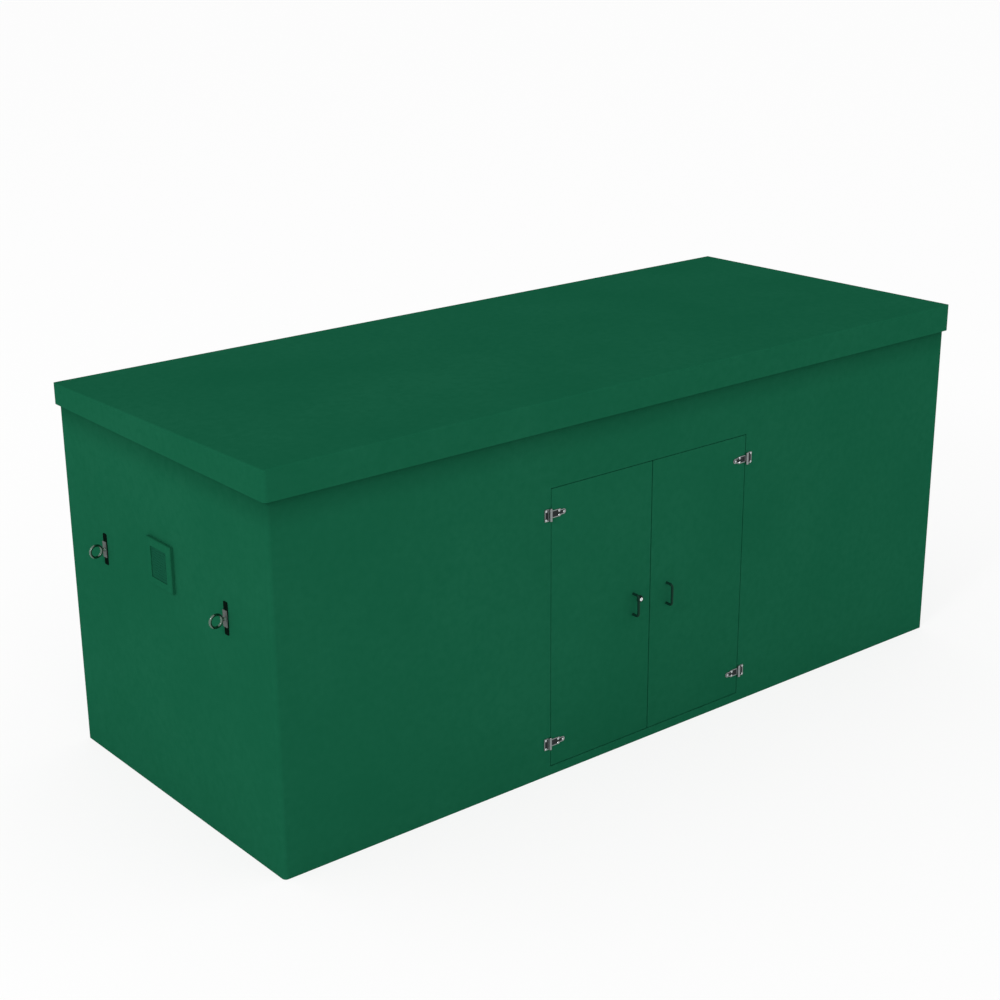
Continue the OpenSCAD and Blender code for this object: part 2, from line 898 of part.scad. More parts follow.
module lock_barrel() {
    color(steel)
        at_lock(-barrel_out)
            difference() {
                cylinder(d = barrel_d, h = barrel_out + cam_depth - cam_play);
                translate([0, 0, -gap])
                    cylinder(d = core_d + 2 * run_play, h = barrel_out + cam_depth + gap);
            }
}

module lock_nut() {
    color(zinc)
        at_lock(door_thick)
            difference() {
                hex(lock_nut_af, lock_nut_thick);
                translate([0, 0, -gap])
                    cylinder(d = barrel_d + 2 * hole_play, h = lock_nut_thick + 2 * gap);
            }
}

module lock_core() {
    color(zinc)
        at_lock(-barrel_out)
            difference() {
                union() {
                    cylinder(d = core_d, h = barrel_out + cam_depth);
                    cylinder(d = stub_d, h = barrel_out + cam_depth + cam_thick + gap);
                    translate([0, 0, barrel_out + cam_depth + cam_thick])
                        cylinder(d = core_d, h = stub_head);
                }
                cube([core_d / 8, core_d * 2 / 3, core_d], center = true);
            }
}

// The cam points up when the lock is open
module lock_cam() {
    color(zinc)
        at_lock(cam_depth)
            linear_extrude(cam_thick)
                difference() {
                    union() {
                        circle(d = cam_width);
                        translate([-cam_width / 2, -cam_length + cam_width / 4])
                            square([cam_width, cam_length - cam_width / 4]);
                        translate([-cam_width / 4, -cam_length])
                            square([cam_width / 2, cam_width]);
                        for (s = SIDES)
                            translate([s * cam_width / 4, -cam_length + cam_width / 4])
                                circle(cam_width / 4);
                    }
                    circle(d = stub_d + 2 * hole_play);
                }
}

module lock_keeper() {
    ramp = keeper_side + keeper_thick / 2;
    color(zinc)
        difference() {
            translate([0, front + door_thick, lock_height - keeper_height / 2])
                linear_extrude(keeper_height)
                    polygon([
                        [keeper_side, 0],
                        [keeper_side + keeper_width, 0],
                        [keeper_side + keeper_width, keeper_thick],
                        [ramp, keeper_thick]
                    ]);
            for (p = keeper_screws_at)
                out_of_front(p[0], door_thick + p[2] + gap, p[1])
                    cylinder(d = screw_d + 2 * hole_play, h = keeper_thick + 2 * gap);
        }
}

// Bolts on the back of the right leaf, drawn as the upper one with the stop lip's edge at z = 0

module at_rod(v) {
    translate([rod_side, front + rod_depth, v < 0 ? stop_edge_low : stop_edge_high])
        mirror([0, 0, v < 0 ? 1 : 0])
            children();
}

module guide_lug(z) {
    r = rod_d / 2 + guide_thick;
    translate([0, 0, z]) {
        cylinder(r = r, h = lug_height);
        translate([-r, -rod_stand + guide_thick / 2, 0])
            cube([2 * r, rod_stand - guide_thick / 2, lug_height]);
    }
}

module rod_guide() {
    color(zinc)
        difference() {
            union() {
                translate([-guide_width / 2, -rod_stand, guide_low])
                    cube([guide_width, guide_thick, guide_height]);
                guide_lug(guide_low);
                guide_lug(guide_low + guide_height - lug_height);
            }
            translate([0, 0, guide_low - gap])
                cylinder(d = rod_d + 2 * run_play, h = guide_height + 2 * gap);
            for (z = guide_screws_at)
                translate([0, -rod_stand - gap, z])
                    rotate([-90, 0, 0])
                        cylinder(d = screw_d + 2 * hole_play, h = guide_thick + 2 * gap);
        }
}

module sliding_rod() {
    color(steel) {
        translate([0, 0, -rod_gap - rod_length])
            cylinder(d = rod_d, h = rod_length);
        translate([0, 0, knob_z])
            rotate([-90, 0, 0])
                cylinder(d = knob_d, h = rod_d / 2 + knob_out);
    }
}

module inner_screws() {
    color(zinc)
        for (p = inner_screws_at)
            out_of_front(p[0], door_thick + p[2], p[1])
                dome_screw(screw_d, screw_head_d, screw_head, inner_screw_length);
}

// Vents, drawn in the left end wall

// The outline of the air passage, grown all round
module vent_square(grown) {
    square([passage_width + 2 * grown, passage_tall + 2 * grown], center = true);
}

// Section of a vent frame from its middle to s on either side, with bevelled front edges
module vent_section(s) {
    face = left_end - vent_out;
    b = vent_bevel;
    polygon([
        [left_end, -s], [left_end, s], [face + b, s], [face, s - b], [face, b - s], [face + b, -s]
    ]);
}

module vent_frame() {
    face = left_end - vent_out;
    color(paint)
        translate([0, 0, vent_height])
            difference() {
                union() {
                    intersection() {
                        translate([0, 0, -vent_tall / 2])
                            linear_extrude(vent_tall)
                                vent_section(vent_width / 2);
                        along_y(-vent_width / 2, vent_width / 2)
                            vent_section(vent_tall / 2);
                    }
                    along_x(left_end - gap, left_end + wall)
                        vent_square(vent_collar);
                }
                along_x(face - gap, left_end + wall + gap)
                    vent_square(0);
                along_x(face - gap, face + recess_depth + screen_thick)
                    square([recess_width, recess_tall], center = true);
            }
}

module vent_screen() {
    face = left_end - vent_out + recess_depth;
    across = passage_width / screen_columns;
    up = passage_tall / screen_rows;
    color(paint)
        translate([0, 0, vent_height])
            along_x(face, face + screen_thick)
                difference() {
                    square([recess_width - 2 * hole_play, recess_tall - 2 * hole_play], center = true);
                    for (i = [0 : screen_columns - 1], j = [0 : screen_rows - 1])
                        translate([
                            (i - (screen_columns - 1) / 2) * across,
                            (j - (screen_rows - 1) / 2) * up
                        ])
                            circle(d = screen_hole_d);
                }
}

// Lifting points, drawn at the left end with the wall's outside at x = 0

module at_eye(s, t) {
    mirror_to(s)
        translate([left_end, t * eye_spacing / 2, eye_height])
            children();
}

module lifting_eye() {
    bar = ring_bar / 2;
    middle = ring_d / 2 - bar;
    stud = wall + backing_thick + stud_nut + bolt_end;
    neck = ring_reach - middle - eye_face;
    color(zinc) {
        along_x(-eye_face, -pad_thick)
            rounded_rect(eye_foot_width, eye_foot_height, 2);
        translate([-pad_thick - gap, 0, 0])
            rotate([0, 90, 0])
                cylinder(d = stud_d, h = stud + pad_thick + gap);
        translate([-eye_face - neck, 0, 0])
            rotate([0, 90, 0])
                cylinder(d1 = ring_bar - gap, d2 = stud_d + gap, h = neck + gap);
        translate([-ring_reach, 0, 0])
            rotate([90, 0, 0])
                rotate_extrude()
                    difference() {
                        translate([middle, 0])
                            circle(bar);
                        translate([0, -ring_bar])
                            square([ring_bore_r, 2 * ring_bar]);
                    }
    }
}

// A plate on an end wall with holes for the stud and the two bolts
module eye_plate(from, thick, width, height, r) {
    along_x(from, from + thick)
        difference() {
            rounded_rect(width, height, r);
            circle(d = stud_d + 2 * hole_play);
            for (v = LEVELS)
                translate([0, v * pad_bolt_pitch / 2])
                    circle(d = bolt_d + 2 * hole_play);
        }
}

module lifting_pad() {
    color(black)
        eye_plate(-pad_thick, pad_thick, pad_width, pad_height, 2);
}

module lifting_backing() {
    color(zinc)
        eye_plate(wall, backing_thick, backing_width, backing_height, 6);
}

module lifting_nuts() {
    color(zinc)
        for (s = SIDES, t = SIDES)
            at_eye(s, t)
                translate([wall + backing_thick, 0, 0])
                    rotate([0, 90, 0])
                        difference() {
                            hex(stud_nut_af, stud_nut);
                            translate([0, 0, -gap])
                                cylinder(d = stud_d + 2 * hole_play, h = stud_nut + 2 * gap);
                        }
}

module lifting_bolts() {
    grip = pad_thick + wall + backing_thick;
    color(black)
        for (s = SIDES, t = SIDES, v = LEVELS)
            at_eye(s, t)
                translate([-pad_thick, 0, v * pad_bolt_pitch / 2])
                    rotate([0, 90, 0]) {
                        dome_screw(bolt_d, bolt_af, bolt_head - gap, grip);
                        nut_on(bolt_d, bolt_af, bolt_head, grip);
                    }
}

body_shell();
roof_cover();
roof_seal();
roof_bolts();
door_left();
door_right();
door_seal();
meeting_seal();
for (s = SIDES, v = LEVELS) {
    end = str("_", side_name(s), "_", level_name(v));
    at_hinge(s, v) hinge_wall_leaf();
    at_hinge(s, v) hinge_door_leaf();
    at_hinge(s, v) hinge_pin();
}
hinge_wall_screws();
for (s = SIDES) {
    end = str("_", side_name(s));
    hinge_door_screws(s);
    handle(s);
    handle_screws(s);
    mirror_to(s) vent_frame();
    mirror_to(s) vent_screen();
}
lock_bezel();
lock_barrel();
lock_nut();
lock_core();
lock_cam();
lock_keeper();
for (v = LEVELS) {
    end = str("_", level_name(v));
    at_rod(v) rod_guide();
    at_rod(v) sliding_rod();
}
inner_screws();
for (s = SIDES, t = LEVELS) {
    end = str("_", side_name(s), t < 0 ? "_front" : "_rear");
    at_eye(s, t) lifting_eye();
    at_eye(s, t) lifting_pad();
    at_eye(s, t) lifting_backing();
}
lifting_nuts();
lifting_bolts();
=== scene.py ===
"""Looks of the roadside utility cabinet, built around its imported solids.

Metres, +Z up, the front faces -Y, and the origin is the middle of the foot flange's underside.
"""

import json
from math import atan2, cos, pi, radians, sin, tan

import bmesh
import bpy
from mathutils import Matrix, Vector

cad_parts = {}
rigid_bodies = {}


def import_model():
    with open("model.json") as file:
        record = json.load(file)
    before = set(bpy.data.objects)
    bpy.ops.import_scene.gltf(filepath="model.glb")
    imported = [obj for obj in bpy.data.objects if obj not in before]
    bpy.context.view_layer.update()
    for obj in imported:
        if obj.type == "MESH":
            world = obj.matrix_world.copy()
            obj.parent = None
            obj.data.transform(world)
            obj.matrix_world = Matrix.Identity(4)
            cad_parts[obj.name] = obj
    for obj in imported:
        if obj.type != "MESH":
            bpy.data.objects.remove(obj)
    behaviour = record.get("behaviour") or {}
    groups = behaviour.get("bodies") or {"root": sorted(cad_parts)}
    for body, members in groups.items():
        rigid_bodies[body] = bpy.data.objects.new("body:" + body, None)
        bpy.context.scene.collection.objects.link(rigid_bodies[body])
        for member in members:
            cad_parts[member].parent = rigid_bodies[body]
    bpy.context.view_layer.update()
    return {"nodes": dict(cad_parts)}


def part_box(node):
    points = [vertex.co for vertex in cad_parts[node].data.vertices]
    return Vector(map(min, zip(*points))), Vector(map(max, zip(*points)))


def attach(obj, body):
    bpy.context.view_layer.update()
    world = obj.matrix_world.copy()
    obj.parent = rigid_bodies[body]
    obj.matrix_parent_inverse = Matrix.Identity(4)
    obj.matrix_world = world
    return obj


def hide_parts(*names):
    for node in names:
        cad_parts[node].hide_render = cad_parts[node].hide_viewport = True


for left_over in list(bpy.data.objects):
    bpy.data.objects.remove(left_over)

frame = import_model()

# Sizes, in metres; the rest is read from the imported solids
MM = 0.001
SIDES = ("left", "right")
LEVELS = ("lower", "upper")
ENDS = ("front", "rear")

BODY_LOW, BODY_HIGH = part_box("body_shell")
FRONT = BODY_LOW.y
WALL = 8 * MM
CORNER_R = 14 * MM

# The doorway's green frame, as it reaches out and back from the door seal
SEAL_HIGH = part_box("door_seal")[1]
FRAME_BESIDE_SEAL = 16 * MM
FRAME_BEHIND_SEAL = 2 * MM

# The roof's landing rim, the least upward lean of its top, and the band of wall under its skirt
# that gets painted shade
ROOF_LOW, ROOF_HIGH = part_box("roof_cover")
ROOF_RIM = 70 * MM
LOOKS_UP = 0.7
EAVES_BAND = 110 * MM

DOOR_DRAFT = radians(3)
DOOR_SKIN = 9 * MM
MEETING_STILE = 140 * MM
HINGE_STILE = 92 * MM
END_RAIL = 90 * MM
MIDDLE_RAIL = 120 * MM
PANEL_R = 24 * MM
PANEL_BRIM_R = 2.5 * MM
PANEL_FLOOR_R = 5 * MM
DOOR_EDGE_R = 0.8 * MM
DOOR_CORNER_R = 3 * MM

# How round the bulbs of the seals are, as shares of their width
DOOR_SEAL_ROUND = 0.46
MEETING_SEAL_ROUND = 0.8

HINGE_THICK = 2.5 * MM
KNUCKLE_R = 5 * MM
KNUCKLE_PLAY = 0.4 * MM
MIDDLE_KNUCKLE = 18 * MM
WALL_LEAF_CORNER = 3 * MM
DOOR_LEAF_WIDE = 41 * MM
DOOR_LEAF_END = 18 * MM
DOOR_LEAF_END_ROUND = 0.98
HINGE_EDGE = 0.6 * MM
HINGE_BORDER = 3 * MM
HINGE_PRESSED = 0.4 * MM
ROLL_TURN = radians(296)
ROLL_STEPS = 20

# Places of the hinge screws, sideways and up from the pin
WALL_SCREW_SIDE = 18.5 * MM
WALL_SCREW_RISE = 15.5 * MM
STRAP_SCREW_PLACES = ((35.5 * MM, 7.5 * MM), (35.5 * MM, -7.5 * MM), (56 * MM, 0.0))

SCREW_R = 2.5 * MM
SCREW_HEAD_R = 4.5 * MM
SCREW_HEAD = 3 * MM
SCREW_LENGTH = 24 * MM
SCREW_PAST_NUT = 2 * MM
SCREW_TIP = 0.6 * MM
SCREW_TIP_SHARE = 0.8

# Form of a screw head, as shares of its radius and height, and a nut's chamfer as one of its width
SOCKET_SHARE = 0.5
SOCKET_FLOOR = 0.45
SOCKET_MOUTH = 0.97
SOCKET_FLARE = 1.02
HEAD_RIM = 0.15
DOME_STEPS = (0.15, radians(25), radians(45), radians(65), radians(85))
NUT_CHAMFER = 0.08

LOCK_PLAY = 0.2 * MM
CORE_PLAY = 0.1 * MM
LOCK_HOLE_REACH = 60 * MM

# Rounded lip of the lock's bezel, as shares of its radius and height, and the edge of its bore
BEZEL_LIP = ((1, 0), (0.99, 0.4), (0.96, 0.72), (0.915, 0.92), (0.87, 1))
BEZEL_BORE_EDGE = 0.5 * MM
BEZEL_BORE_TOP = 0.9

# Rounded lip of the lock's barrel, inwards from its side and down from its tip, and its inner edge
BARREL_LIP = ((0, 1.6 * MM), (0.35 * MM, 0.6 * MM), (1.1 * MM, 0.1 * MM), (1.8 * MM, 0))
BARREL_INNER_EDGE = 0.3 * MM

# How far an eye's dull foot reaches out of its pad, and how fine the eye is drawn and blended
EYE_FOOT = 3.4 * MM
EYE_GRAIN = 0.7 * MM
EYE_BLEND_PASSES = 6
PAD_CORNER_R = 4 * MM
PAD_EDGE_R = 1 * MM


def near(a, b, within=0.05 * MM):
    return abs(a - b) < within


def linear(code):
    """A colour written as sRGB hex, as the linear colour that a shader takes."""
    parts = [int(code[i:i + 2], 16) / 255 for i in (1, 3, 5)]
    return [c / 12.92 if c <= 0.04045 else ((c + 0.055) / 1.055) ** 2.4 for c in parts] + [1.0]


def per_mm(size):
    """The texture scale at which one feature of a pattern is that many millimetres across."""
    return 1000 / size


# Materials

def add(tree, kind, inputs=None, **settings):
    """Adds a node with its settings; an input that is given a socket is linked, and else set.
    A Mix node takes its share at 0, then numbers at 2 and 3, vectors at 4 and 5 and colours at
    6 and 7, and gives the number, vector or colour at its output 0, 1 or 2."""
    made = tree.nodes.new(kind)
    for name, value in settings.items():
        setattr(made, name, value)
    for name, value in (inputs or {}).items():
        if isinstance(value, bpy.types.NodeSocket):
            tree.links.new(value, made.inputs[name])
        else:
            made.inputs[name].default_value = value
    return made


def start_material(name, **shader_values):
    """A new material, its tree, its shader with constant values set, and object coordinates."""
    made = bpy.data.materials.new(name)
    made.use_nodes = True
    tree = made.node_tree
    shader = tree.nodes["Principled BSDF"]
    for socket, value in shader_values.items():
        shader.inputs[socket.replace("_", " ")].default_value = value
    place = add(tree, "ShaderNodeTexCoord").outputs["Object"]
    return made, tree, shader, place


def gelcoat_layer(tree, place):
    """Colour, roughness and bump of the gel coat."""
    drift = add(tree, "ShaderNodeTexNoise", {"Vector": place, "Scale": per_mm(420), "Detail": 2.0})
    cloud = add(tree, "ShaderNodeTexNoise", {"Vector": place, "Scale": per_mm(24), "Detail": 3.0})
    tone = add(
        tree, "ShaderNodeMath",
        {0: drift.outputs["Fac"], 1: cloud.outputs["Fac"]}, operation="MULTIPLY",
    )
    spread = add(
        tree, "ShaderNodeMapRange",
        {"Value": tone.outputs[0], "From Min": 0.12, "From Max": 0.4},
    )
    green = add(
        tree, "ShaderNodeMix",
        {0: spread.outputs[0], 6: linear("#13553B"), 7: linear("#17593F")}, data_type="RGBA",
    )
    gloss = add(
        tree, "ShaderNodeMapRange",
        {
            "Value": cloud.outputs["Fac"], "From Min": 0.3, "From Max": 0.7,
            "To Min": 0.62, "To Max": 0.72,
        },
    )
    peel = add(tree, "ShaderNodeTexNoise", {"Vector": place, "Scale": per_mm(7), "Detail": 1.0})
    relief = add(
        tree, "ShaderNodeBump",
        {"Height": peel.outputs["Fac"], "Strength": 0.4, "Distance": 0.4 * MM},
    )
    return green.outputs[2], gloss.outputs[0], relief.outputs[0]


def flowcoat_layer(tree, place):
    """Colour, roughness and bump of a brushed pale coat over chopped glass strands, which are
    three lays of stretched grain, each turned from the last."""
    strands = None
    for turn in (0.3, 1.4, 2.5):
        turned_place = add(
            tree, "ShaderNodeMapping",
            {
                "Vector": place, "Rotation": (turn, turn * 0.7, turn * 1.3),
                "Scale": (1.0, 0.08, 1.0),
            },
        )
        layer = add(
            tree, "ShaderNodeTexNoise",
            {"Vector": turned_place.outputs[0], "Scale": per_mm(3.5), "Detail": 1.0},
        ).outputs["Fac"]
        strands = layer if strands is None else add(
            tree, "ShaderNodeMath", {0: strands, 1: layer}, operation="MAXIMUM",
        ).outputs[0]
    fibre = add(tree, "ShaderNodeMapRange", {"Value": strands, "From Min": 0.5, "From Max": 0.8})
    pale = add(
        tree, "ShaderNodeMix",
        {0: fibre.outputs[0], 6: linear("#B4BAB2"), 7: linear("#CDD1CA")}, data_type="RGBA",
    )
    relief = add(
        tree, "ShaderNodeBump",
        {"Height": fibre.outputs[0], "Strength": 0.35, "Distance": 0.8 * MM},
    )
    return pale.outputs[2], 0.55, relief.outputs[0]


# A flatted coat shows no mirror of the white surround
FLATTED = {"Specular_IOR_Level": 0.0}
# What the gel coat's colour is multiplied by for the painted shade under the roof's skirt
EAVES_SHADE_TONE = "#E4E4E4"


def dress(tree, shader, colour, roughness, relief):
    """Puts a layer's colour, roughness and bump on the shader."""
    tree.links.new(colour, shader.inputs["Base Color"])
    if isinstance(roughness, bpy.types.NodeSocket):
        tree.links.new(roughness, shader.inputs["Roughness"])
    else:
        shader.inputs["Roughness"].default_value = roughness
    tree.links.new(relief, shader.inputs["Normal"])


def matt_green_gelcoat():
    """Glass-fibre moulding with a flatted gel coat: an even dark green with hardly any gloss, a
    slow drift in tone and a faint orange peel, drawn coarser than the real 2 mm to show."""
    made, tree, shader, place = start_material("matt_green_gelcoat", **FLATTED)
    dress(tree, shader, *gelcoat_layer(tree, place))
    return made


def pale_flowcoat():
    """The rough side of the moulding: a brushed pale coat with glass strands showing through."""
    made, tree, shader, place = start_material("pale_flowcoat", **FLATTED)
    dress(tree, shader, *flowcoat_layer(tree, place))
    return made


def painted_eaves_shade(tree, place):
    """Mask of the painted shade: 1 on the wall right under the roof's skirt, fading out further
    down.
    """
    height = add(tree, "ShaderNodeSeparateXYZ", {"Vector": place}).outputs["Z"]
    return add(
        tree, "ShaderNodeMapRange",
        {"Value": height, "From Min": ROOF_LOW.z - EAVES_BAND, "From Max": ROOF_LOW.z},
        interpolation_type="SMOOTHSTEP",
    ).outputs[0]


def two_sided_moulding(name, inside, painted_shade=None):
    """Gel coat where the mould was and flow coat on the rough side, split by place on the
    moulding. Where a painted shade mask is given, it darkens the gel coat a little as painted
    shade."""
    made, tree, shader, place = start_material(name, **FLATTED)
    mask = inside(tree, place)
    outer = gelcoat_layer(tree, place)
    inner = flowcoat_layer(tree, place)
    green = outer[0]
    if painted_shade:
        green = add(
            tree, "ShaderNodeMix", {0: painted_shade(tree, place), 6: green, 7: linear(EAVES_SHADE_TONE)},
            data_type="RGBA", blend_type="MULTIPLY",
        ).outputs[2]
    colour = add(
        tree, "ShaderNodeMix", {0: mask, 6: green, 7: inner[0]}, data_type="RGBA",
    )
    bump = add(
        tree, "ShaderNodeMix", {0: mask, 4: outer[2], 5: inner[2]}, data_type="VECTOR",
    )
    dress(tree, shader, colour.outputs[2], outer[1], bump.outputs[1])
    return made


def inside_body(tree, place):
    """1 on the inner faces of the walls, behind the rebate of the doorway's frame."""
    parts = add(tree, "ShaderNodeSeparateXYZ", {"Vector": place}).outputs
    folded = add(tree, "ShaderNodeVectorMath", {0: place}, operation="ABSOLUTE").outputs[0]
    any_height = 2 * BODY_HIGH.z
    core = (BODY_HIGH.x - CORNER_R, BODY_HIGH.y - CORNER_R, any_height)
    offset = add(tree, "ShaderNodeVectorMath", {0: folded, 1: core}, operation="SUBTRACT")
    beyond = add(
        tree, "ShaderNodeVectorMath", {0: offset.outputs[0], 1: (0, 0, 0)}, operation="MAXIMUM",
    ).outputs[0]
    reach = add(tree, "ShaderNodeVectorMath", {0: beyond}, operation="LENGTH").outputs["Value"]
    within = add(
        tree, "ShaderNodeMath", {0: reach, 1: CORNER_R - WALL / 2}, operation="LESS_THAN",
    ).outputs[0]
    half = add(tree, "ShaderNodeSeparateXYZ", {"Vector": folded}).outputs["X"]
    clear = add(
        tree, "ShaderNodeMath",
        {0: half, 1: SEAL_HIGH.x + FRAME_BESIDE_SEAL}, operation="GREATER_THAN",
    ).outputs[0]
    for socket, limit in (
        (parts["Z"], SEAL_HIGH.z + FRAME_BESIDE_SEAL),
        (parts["Y"], SEAL_HIGH.y + FRAME_BEHIND_SEAL),
    ):
        past = add(tree, "ShaderNodeMath", {0: socket, 1: limit}, operation="GREATER_THAN")
        clear = add(
            tree, "ShaderNodeMath", {0: clear, 1: past.outputs[0]}, operation="MAXIMUM",
        ).outputs[0]
    return add(tree, "ShaderNodeMath", {0: within, 1: clear}, operation="MULTIPLY").outputs[0]


def under_roof(tree, place):
    """1 on the faces of the roof that look down into the cabinet and on its hollows' walls."""
    parts = add(tree, "ShaderNodeSeparateXYZ", {"Vector": place}).outputs
    inner = None
    for axis, limit in (("X", ROOF_HIGH.x - ROOF_RIM), ("Y", ROOF_HIGH.y - ROOF_RIM)):
        size = add(tree, "ShaderNodeMath", {0: parts[axis]}, operation="ABSOLUTE").outputs[0]
        test = add(tree, "ShaderNodeMath", {0: size, 1: limit}, operation="LESS_THAN").outputs[0]
        inner = test if inner is None else add(
            tree, "ShaderNodeMath", {0: inner, 1: test}, operation="MULTIPLY",
        ).outputs[0]
    facing = add(tree, "ShaderNodeNewGeometry").outputs["Normal"]
    upward = add(tree, "ShaderNodeSeparateXYZ", {"Vector": facing}).outputs["Z"]
    not_up = add(tree, "ShaderNodeMath", {0: upward, 1: LOOKS_UP}, operation="LESS_THAN").outputs[0]
    return add(tree, "ShaderNodeMath", {0: inner, 1: not_up}, operation="MULTIPLY").outputs[0]


def sponge_rubber():
    """Black sponge rubber, extruded: a soft dull black with a fine open grain."""
    made, tree, shader, place = start_material("sponge_rubber", Specular_IOR_Level=0.2)
    grain = add(tree, "ShaderNodeTexNoise", {"Vector": place, "Scale": per_mm(1.2), "Detail": 2.0})
    black = add(
        tree, "ShaderNodeMix",
        {0: grain.outputs["Fac"], 6: linear("#101213"), 7: linear("#1D2021")}, data_type="RGBA",
    )
    relief = add(
        tree, "ShaderNodeBump",
        {"Height": grain.outputs["Fac"], "Strength": 0.3, "Distance": 0.2 * MM},
    )
    dress(tree, shader, black.outputs[2], 0.8, relief.outputs[0])
    return made


def worked_metal(name, dark, light, grain_mm, rough_low, rough_high, relief_mm=0.02):
    """A bare or plated metal: two close tones, and a gloss and relief that follow its grain."""
    made, tree, shader, place = start_material(name, Metallic=1.0)
    grain = add(
        tree, "ShaderNodeTexNoise", {"Vector": place, "Scale": per_mm(grain_mm), "Detail": 3.0},
    ).outputs["Fac"]
    tone = add(
        tree, "ShaderNodeMix", {0: grain, 6: linear(dark), 7: linear(light)}, data_type="RGBA",
    )
    gloss = add(
        tree, "ShaderNodeMapRange", {"Value": grain, "To Min": rough_low, "To Max": rough_high},
    )
    relief = add(
        tree, "ShaderNodeBump", {"Height": grain, "Strength": 0.4, "Distance": relief_mm * MM},
    )
    dress(tree, shader, tone.outputs[2], gloss.outputs[0], relief.outputs[0])
    return made


def black_coating(name, dark, light, roughness, specular, relief_mm):
    """A black stoved coating on metal, with the slight unevenness that spraying leaves."""
    made, tree, shader, place = start_material(name, Specular_IOR_Level=specular)
    flow = add(tree, "ShaderNodeTexNoise", {"Vector": place, "Scale": per_mm(3), "Detail": 2.0})
    tone = add(
        tree, "ShaderNodeMix",
        {0: flow.outputs["Fac"], 6: linear(dark), 7: linear(light)}, data_type="RGBA",
    )
    gloss = add(
        tree, "ShaderNodeMapRange",
        {"Value": flow.outputs["Fac"], "To Min": roughness * 0.8, "To Max": roughness * 1.2},
    )
    relief = add(
        tree, "ShaderNodeBump",
        {"Height": flow.outputs["Fac"], "Strength": 0.3, "Distance": relief_mm * MM},
    )
    dress(tree, shader, tone.outputs[2], gloss.outputs[0], relief.outputs[0])
    return made


def shaded_gelcoat():
    """The vent screen's gel coat, darker and bluer behind its frame as painted shade."""
    made, tree, shader, place = start_material("shade_painted_green_gelcoat", **FLATTED)
    stain = add(tree, "ShaderNodeTexNoise", {"Vector": place, "Scale": per_mm(30), "Detail": 2.0})
    tone = add(
        tree, "ShaderNodeMix",
        {0: stain.outputs["Fac"], 6: linear("#124936"), 7: linear("#145039")}, data_type="RGBA",
    )
    relief = add(
        tree, "ShaderNodeBump",
        {"Height": stain.outputs["Fac"], "Strength": 0.1, "Distance": 0.4 * MM},
    )
    dress(tree, shader, tone.outputs[2], 0.7, relief.outputs[0])
    return made


GREEN = matt_green_gelcoat()
PALE = pale_flowcoat()
# The vent screen is darker as painted shade in its recess
SCREEN_GREEN = shaded_gelcoat()
# The body's gel coat is darkened under the roof's skirt as painted shade
BODY_FINISH = two_sided_moulding("moulded_body_two_coats", inside_body, painted_eaves_shade)
ROOF_FINISH = two_sided_moulding("moulded_roof_two_coats", under_roof)
RUBBER = sponge_rubber()
# Pressed middle of the hinge plates, painted nearly black as a painted dark reflection
DARK_STAINLESS = worked_metal("reflection_painted_dark_stainless", "#222526", "#303435", 1.5, 0.3, 0.4)
# Tumbled stainless rims and knuckles: an even mid grey with soft reflections
DULL_STAINLESS = worked_metal("tumbled_stainless", "#7C8181", "#949999", 1.5, 0.24, 0.34)
# Polished pins and screw heads: bright points beside the dull plates
BRIGHT_STAINLESS = worked_metal("polished_stainless", "#B4B9B9", "#CED2D2", 2.0, 0.1, 0.18)
# Chromed key face, whiter than chrome as a painted highlight: the one white spot on the front
CHROME = worked_metal("bright_chrome_plating", "#E4E8E8", "#F6F8F8", 3.0, 0.06, 0.12)
# Bright plated ring, tinted green as a painted reflection of the green wall, with white highlights
BRIGHT_PLATING = worked_metal("wall_reflection_painted_plating", "#51655B", "#697D72", 4.0, 0.18, 0.25)
# Dull plated foot of the eye: an even mid grey, slightly grainy
DULL_PLATING = worked_metal(
    "dull_plated_forging", "#565D5B", "#6C7370", 1.2, 0.5, 0.65, relief_mm=0.06,
)
# Lock's plated barrel, painted dark as a painted reflection: a dark ring round the bright key face
BARREL_PAINTED_DARK = worked_metal("reflection_painted_dark_plating", "#2B2F30", "#3A3F40", 2.0, 0.2, 0.3)
# Zinc plated fittings inside: pale grey with a slight spangle
ZINC = worked_metal("zinc_plated_steel", "#858C8F", "#A3A9A9", 2.5, 0.3, 0.45)
# Glossy black stoved coating, tinted dark green as a painted reflection of the green doors, with a
# faint highlight
GLOSS_BLACK = black_coating("green_reflection_painted_gloss_black", "#0B2B20", "#0F3327", 0.14, 0.05, 0.03)
# Dead matt black coating on the lifting pads: nearly black all over
MATT_BLACK = black_coating("matt_black_coating", "#06100C", "#0B1712", 0.7, 0.0, 0.06)


# Modelling

def open_mesh(name, primitive, **start):
    """Adds a primitive at its size and place as the start of a piece, and opens it for editing."""
    bpy.ops.object.select_all(action="DESELECT")
    primitive(**start)
    bpy.ops.object.transform_apply(location=True, rotation=True, scale=True)
    piece = bpy.context.active_object
    piece.name = name
    piece.data.name = name
    bpy.ops.object.mode_set(mode="EDIT")
    bpy.ops.mesh.select_all(action="SELECT")
    return piece


def pick(kind, test):
    """Selects only the verts, edges or faces of the open mesh that pass a test."""
    mode = {"verts": "VERT", "edges": "EDGE", "faces": "FACE"}[kind]
    bpy.ops.mesh.select_mode(type=mode)
    bpy.ops.mesh.select_all(action="DESELECT")
    mesh = bmesh.from_edit_mesh(bpy.context.edit_object.data)
    mesh.normal_update()
    for element in [e for e in getattr(mesh, kind) if test(e)]:
        element.select_set(True)
    mesh.select_flush_mode()
    bmesh.update_edit_mesh(bpy.context.edit_object.data)


def extrude(x=0.0, y=0.0, z=0.0):
    bpy.ops.mesh.extrude_region_move(TRANSFORM_OT_translate={"value": (x, y, z)})


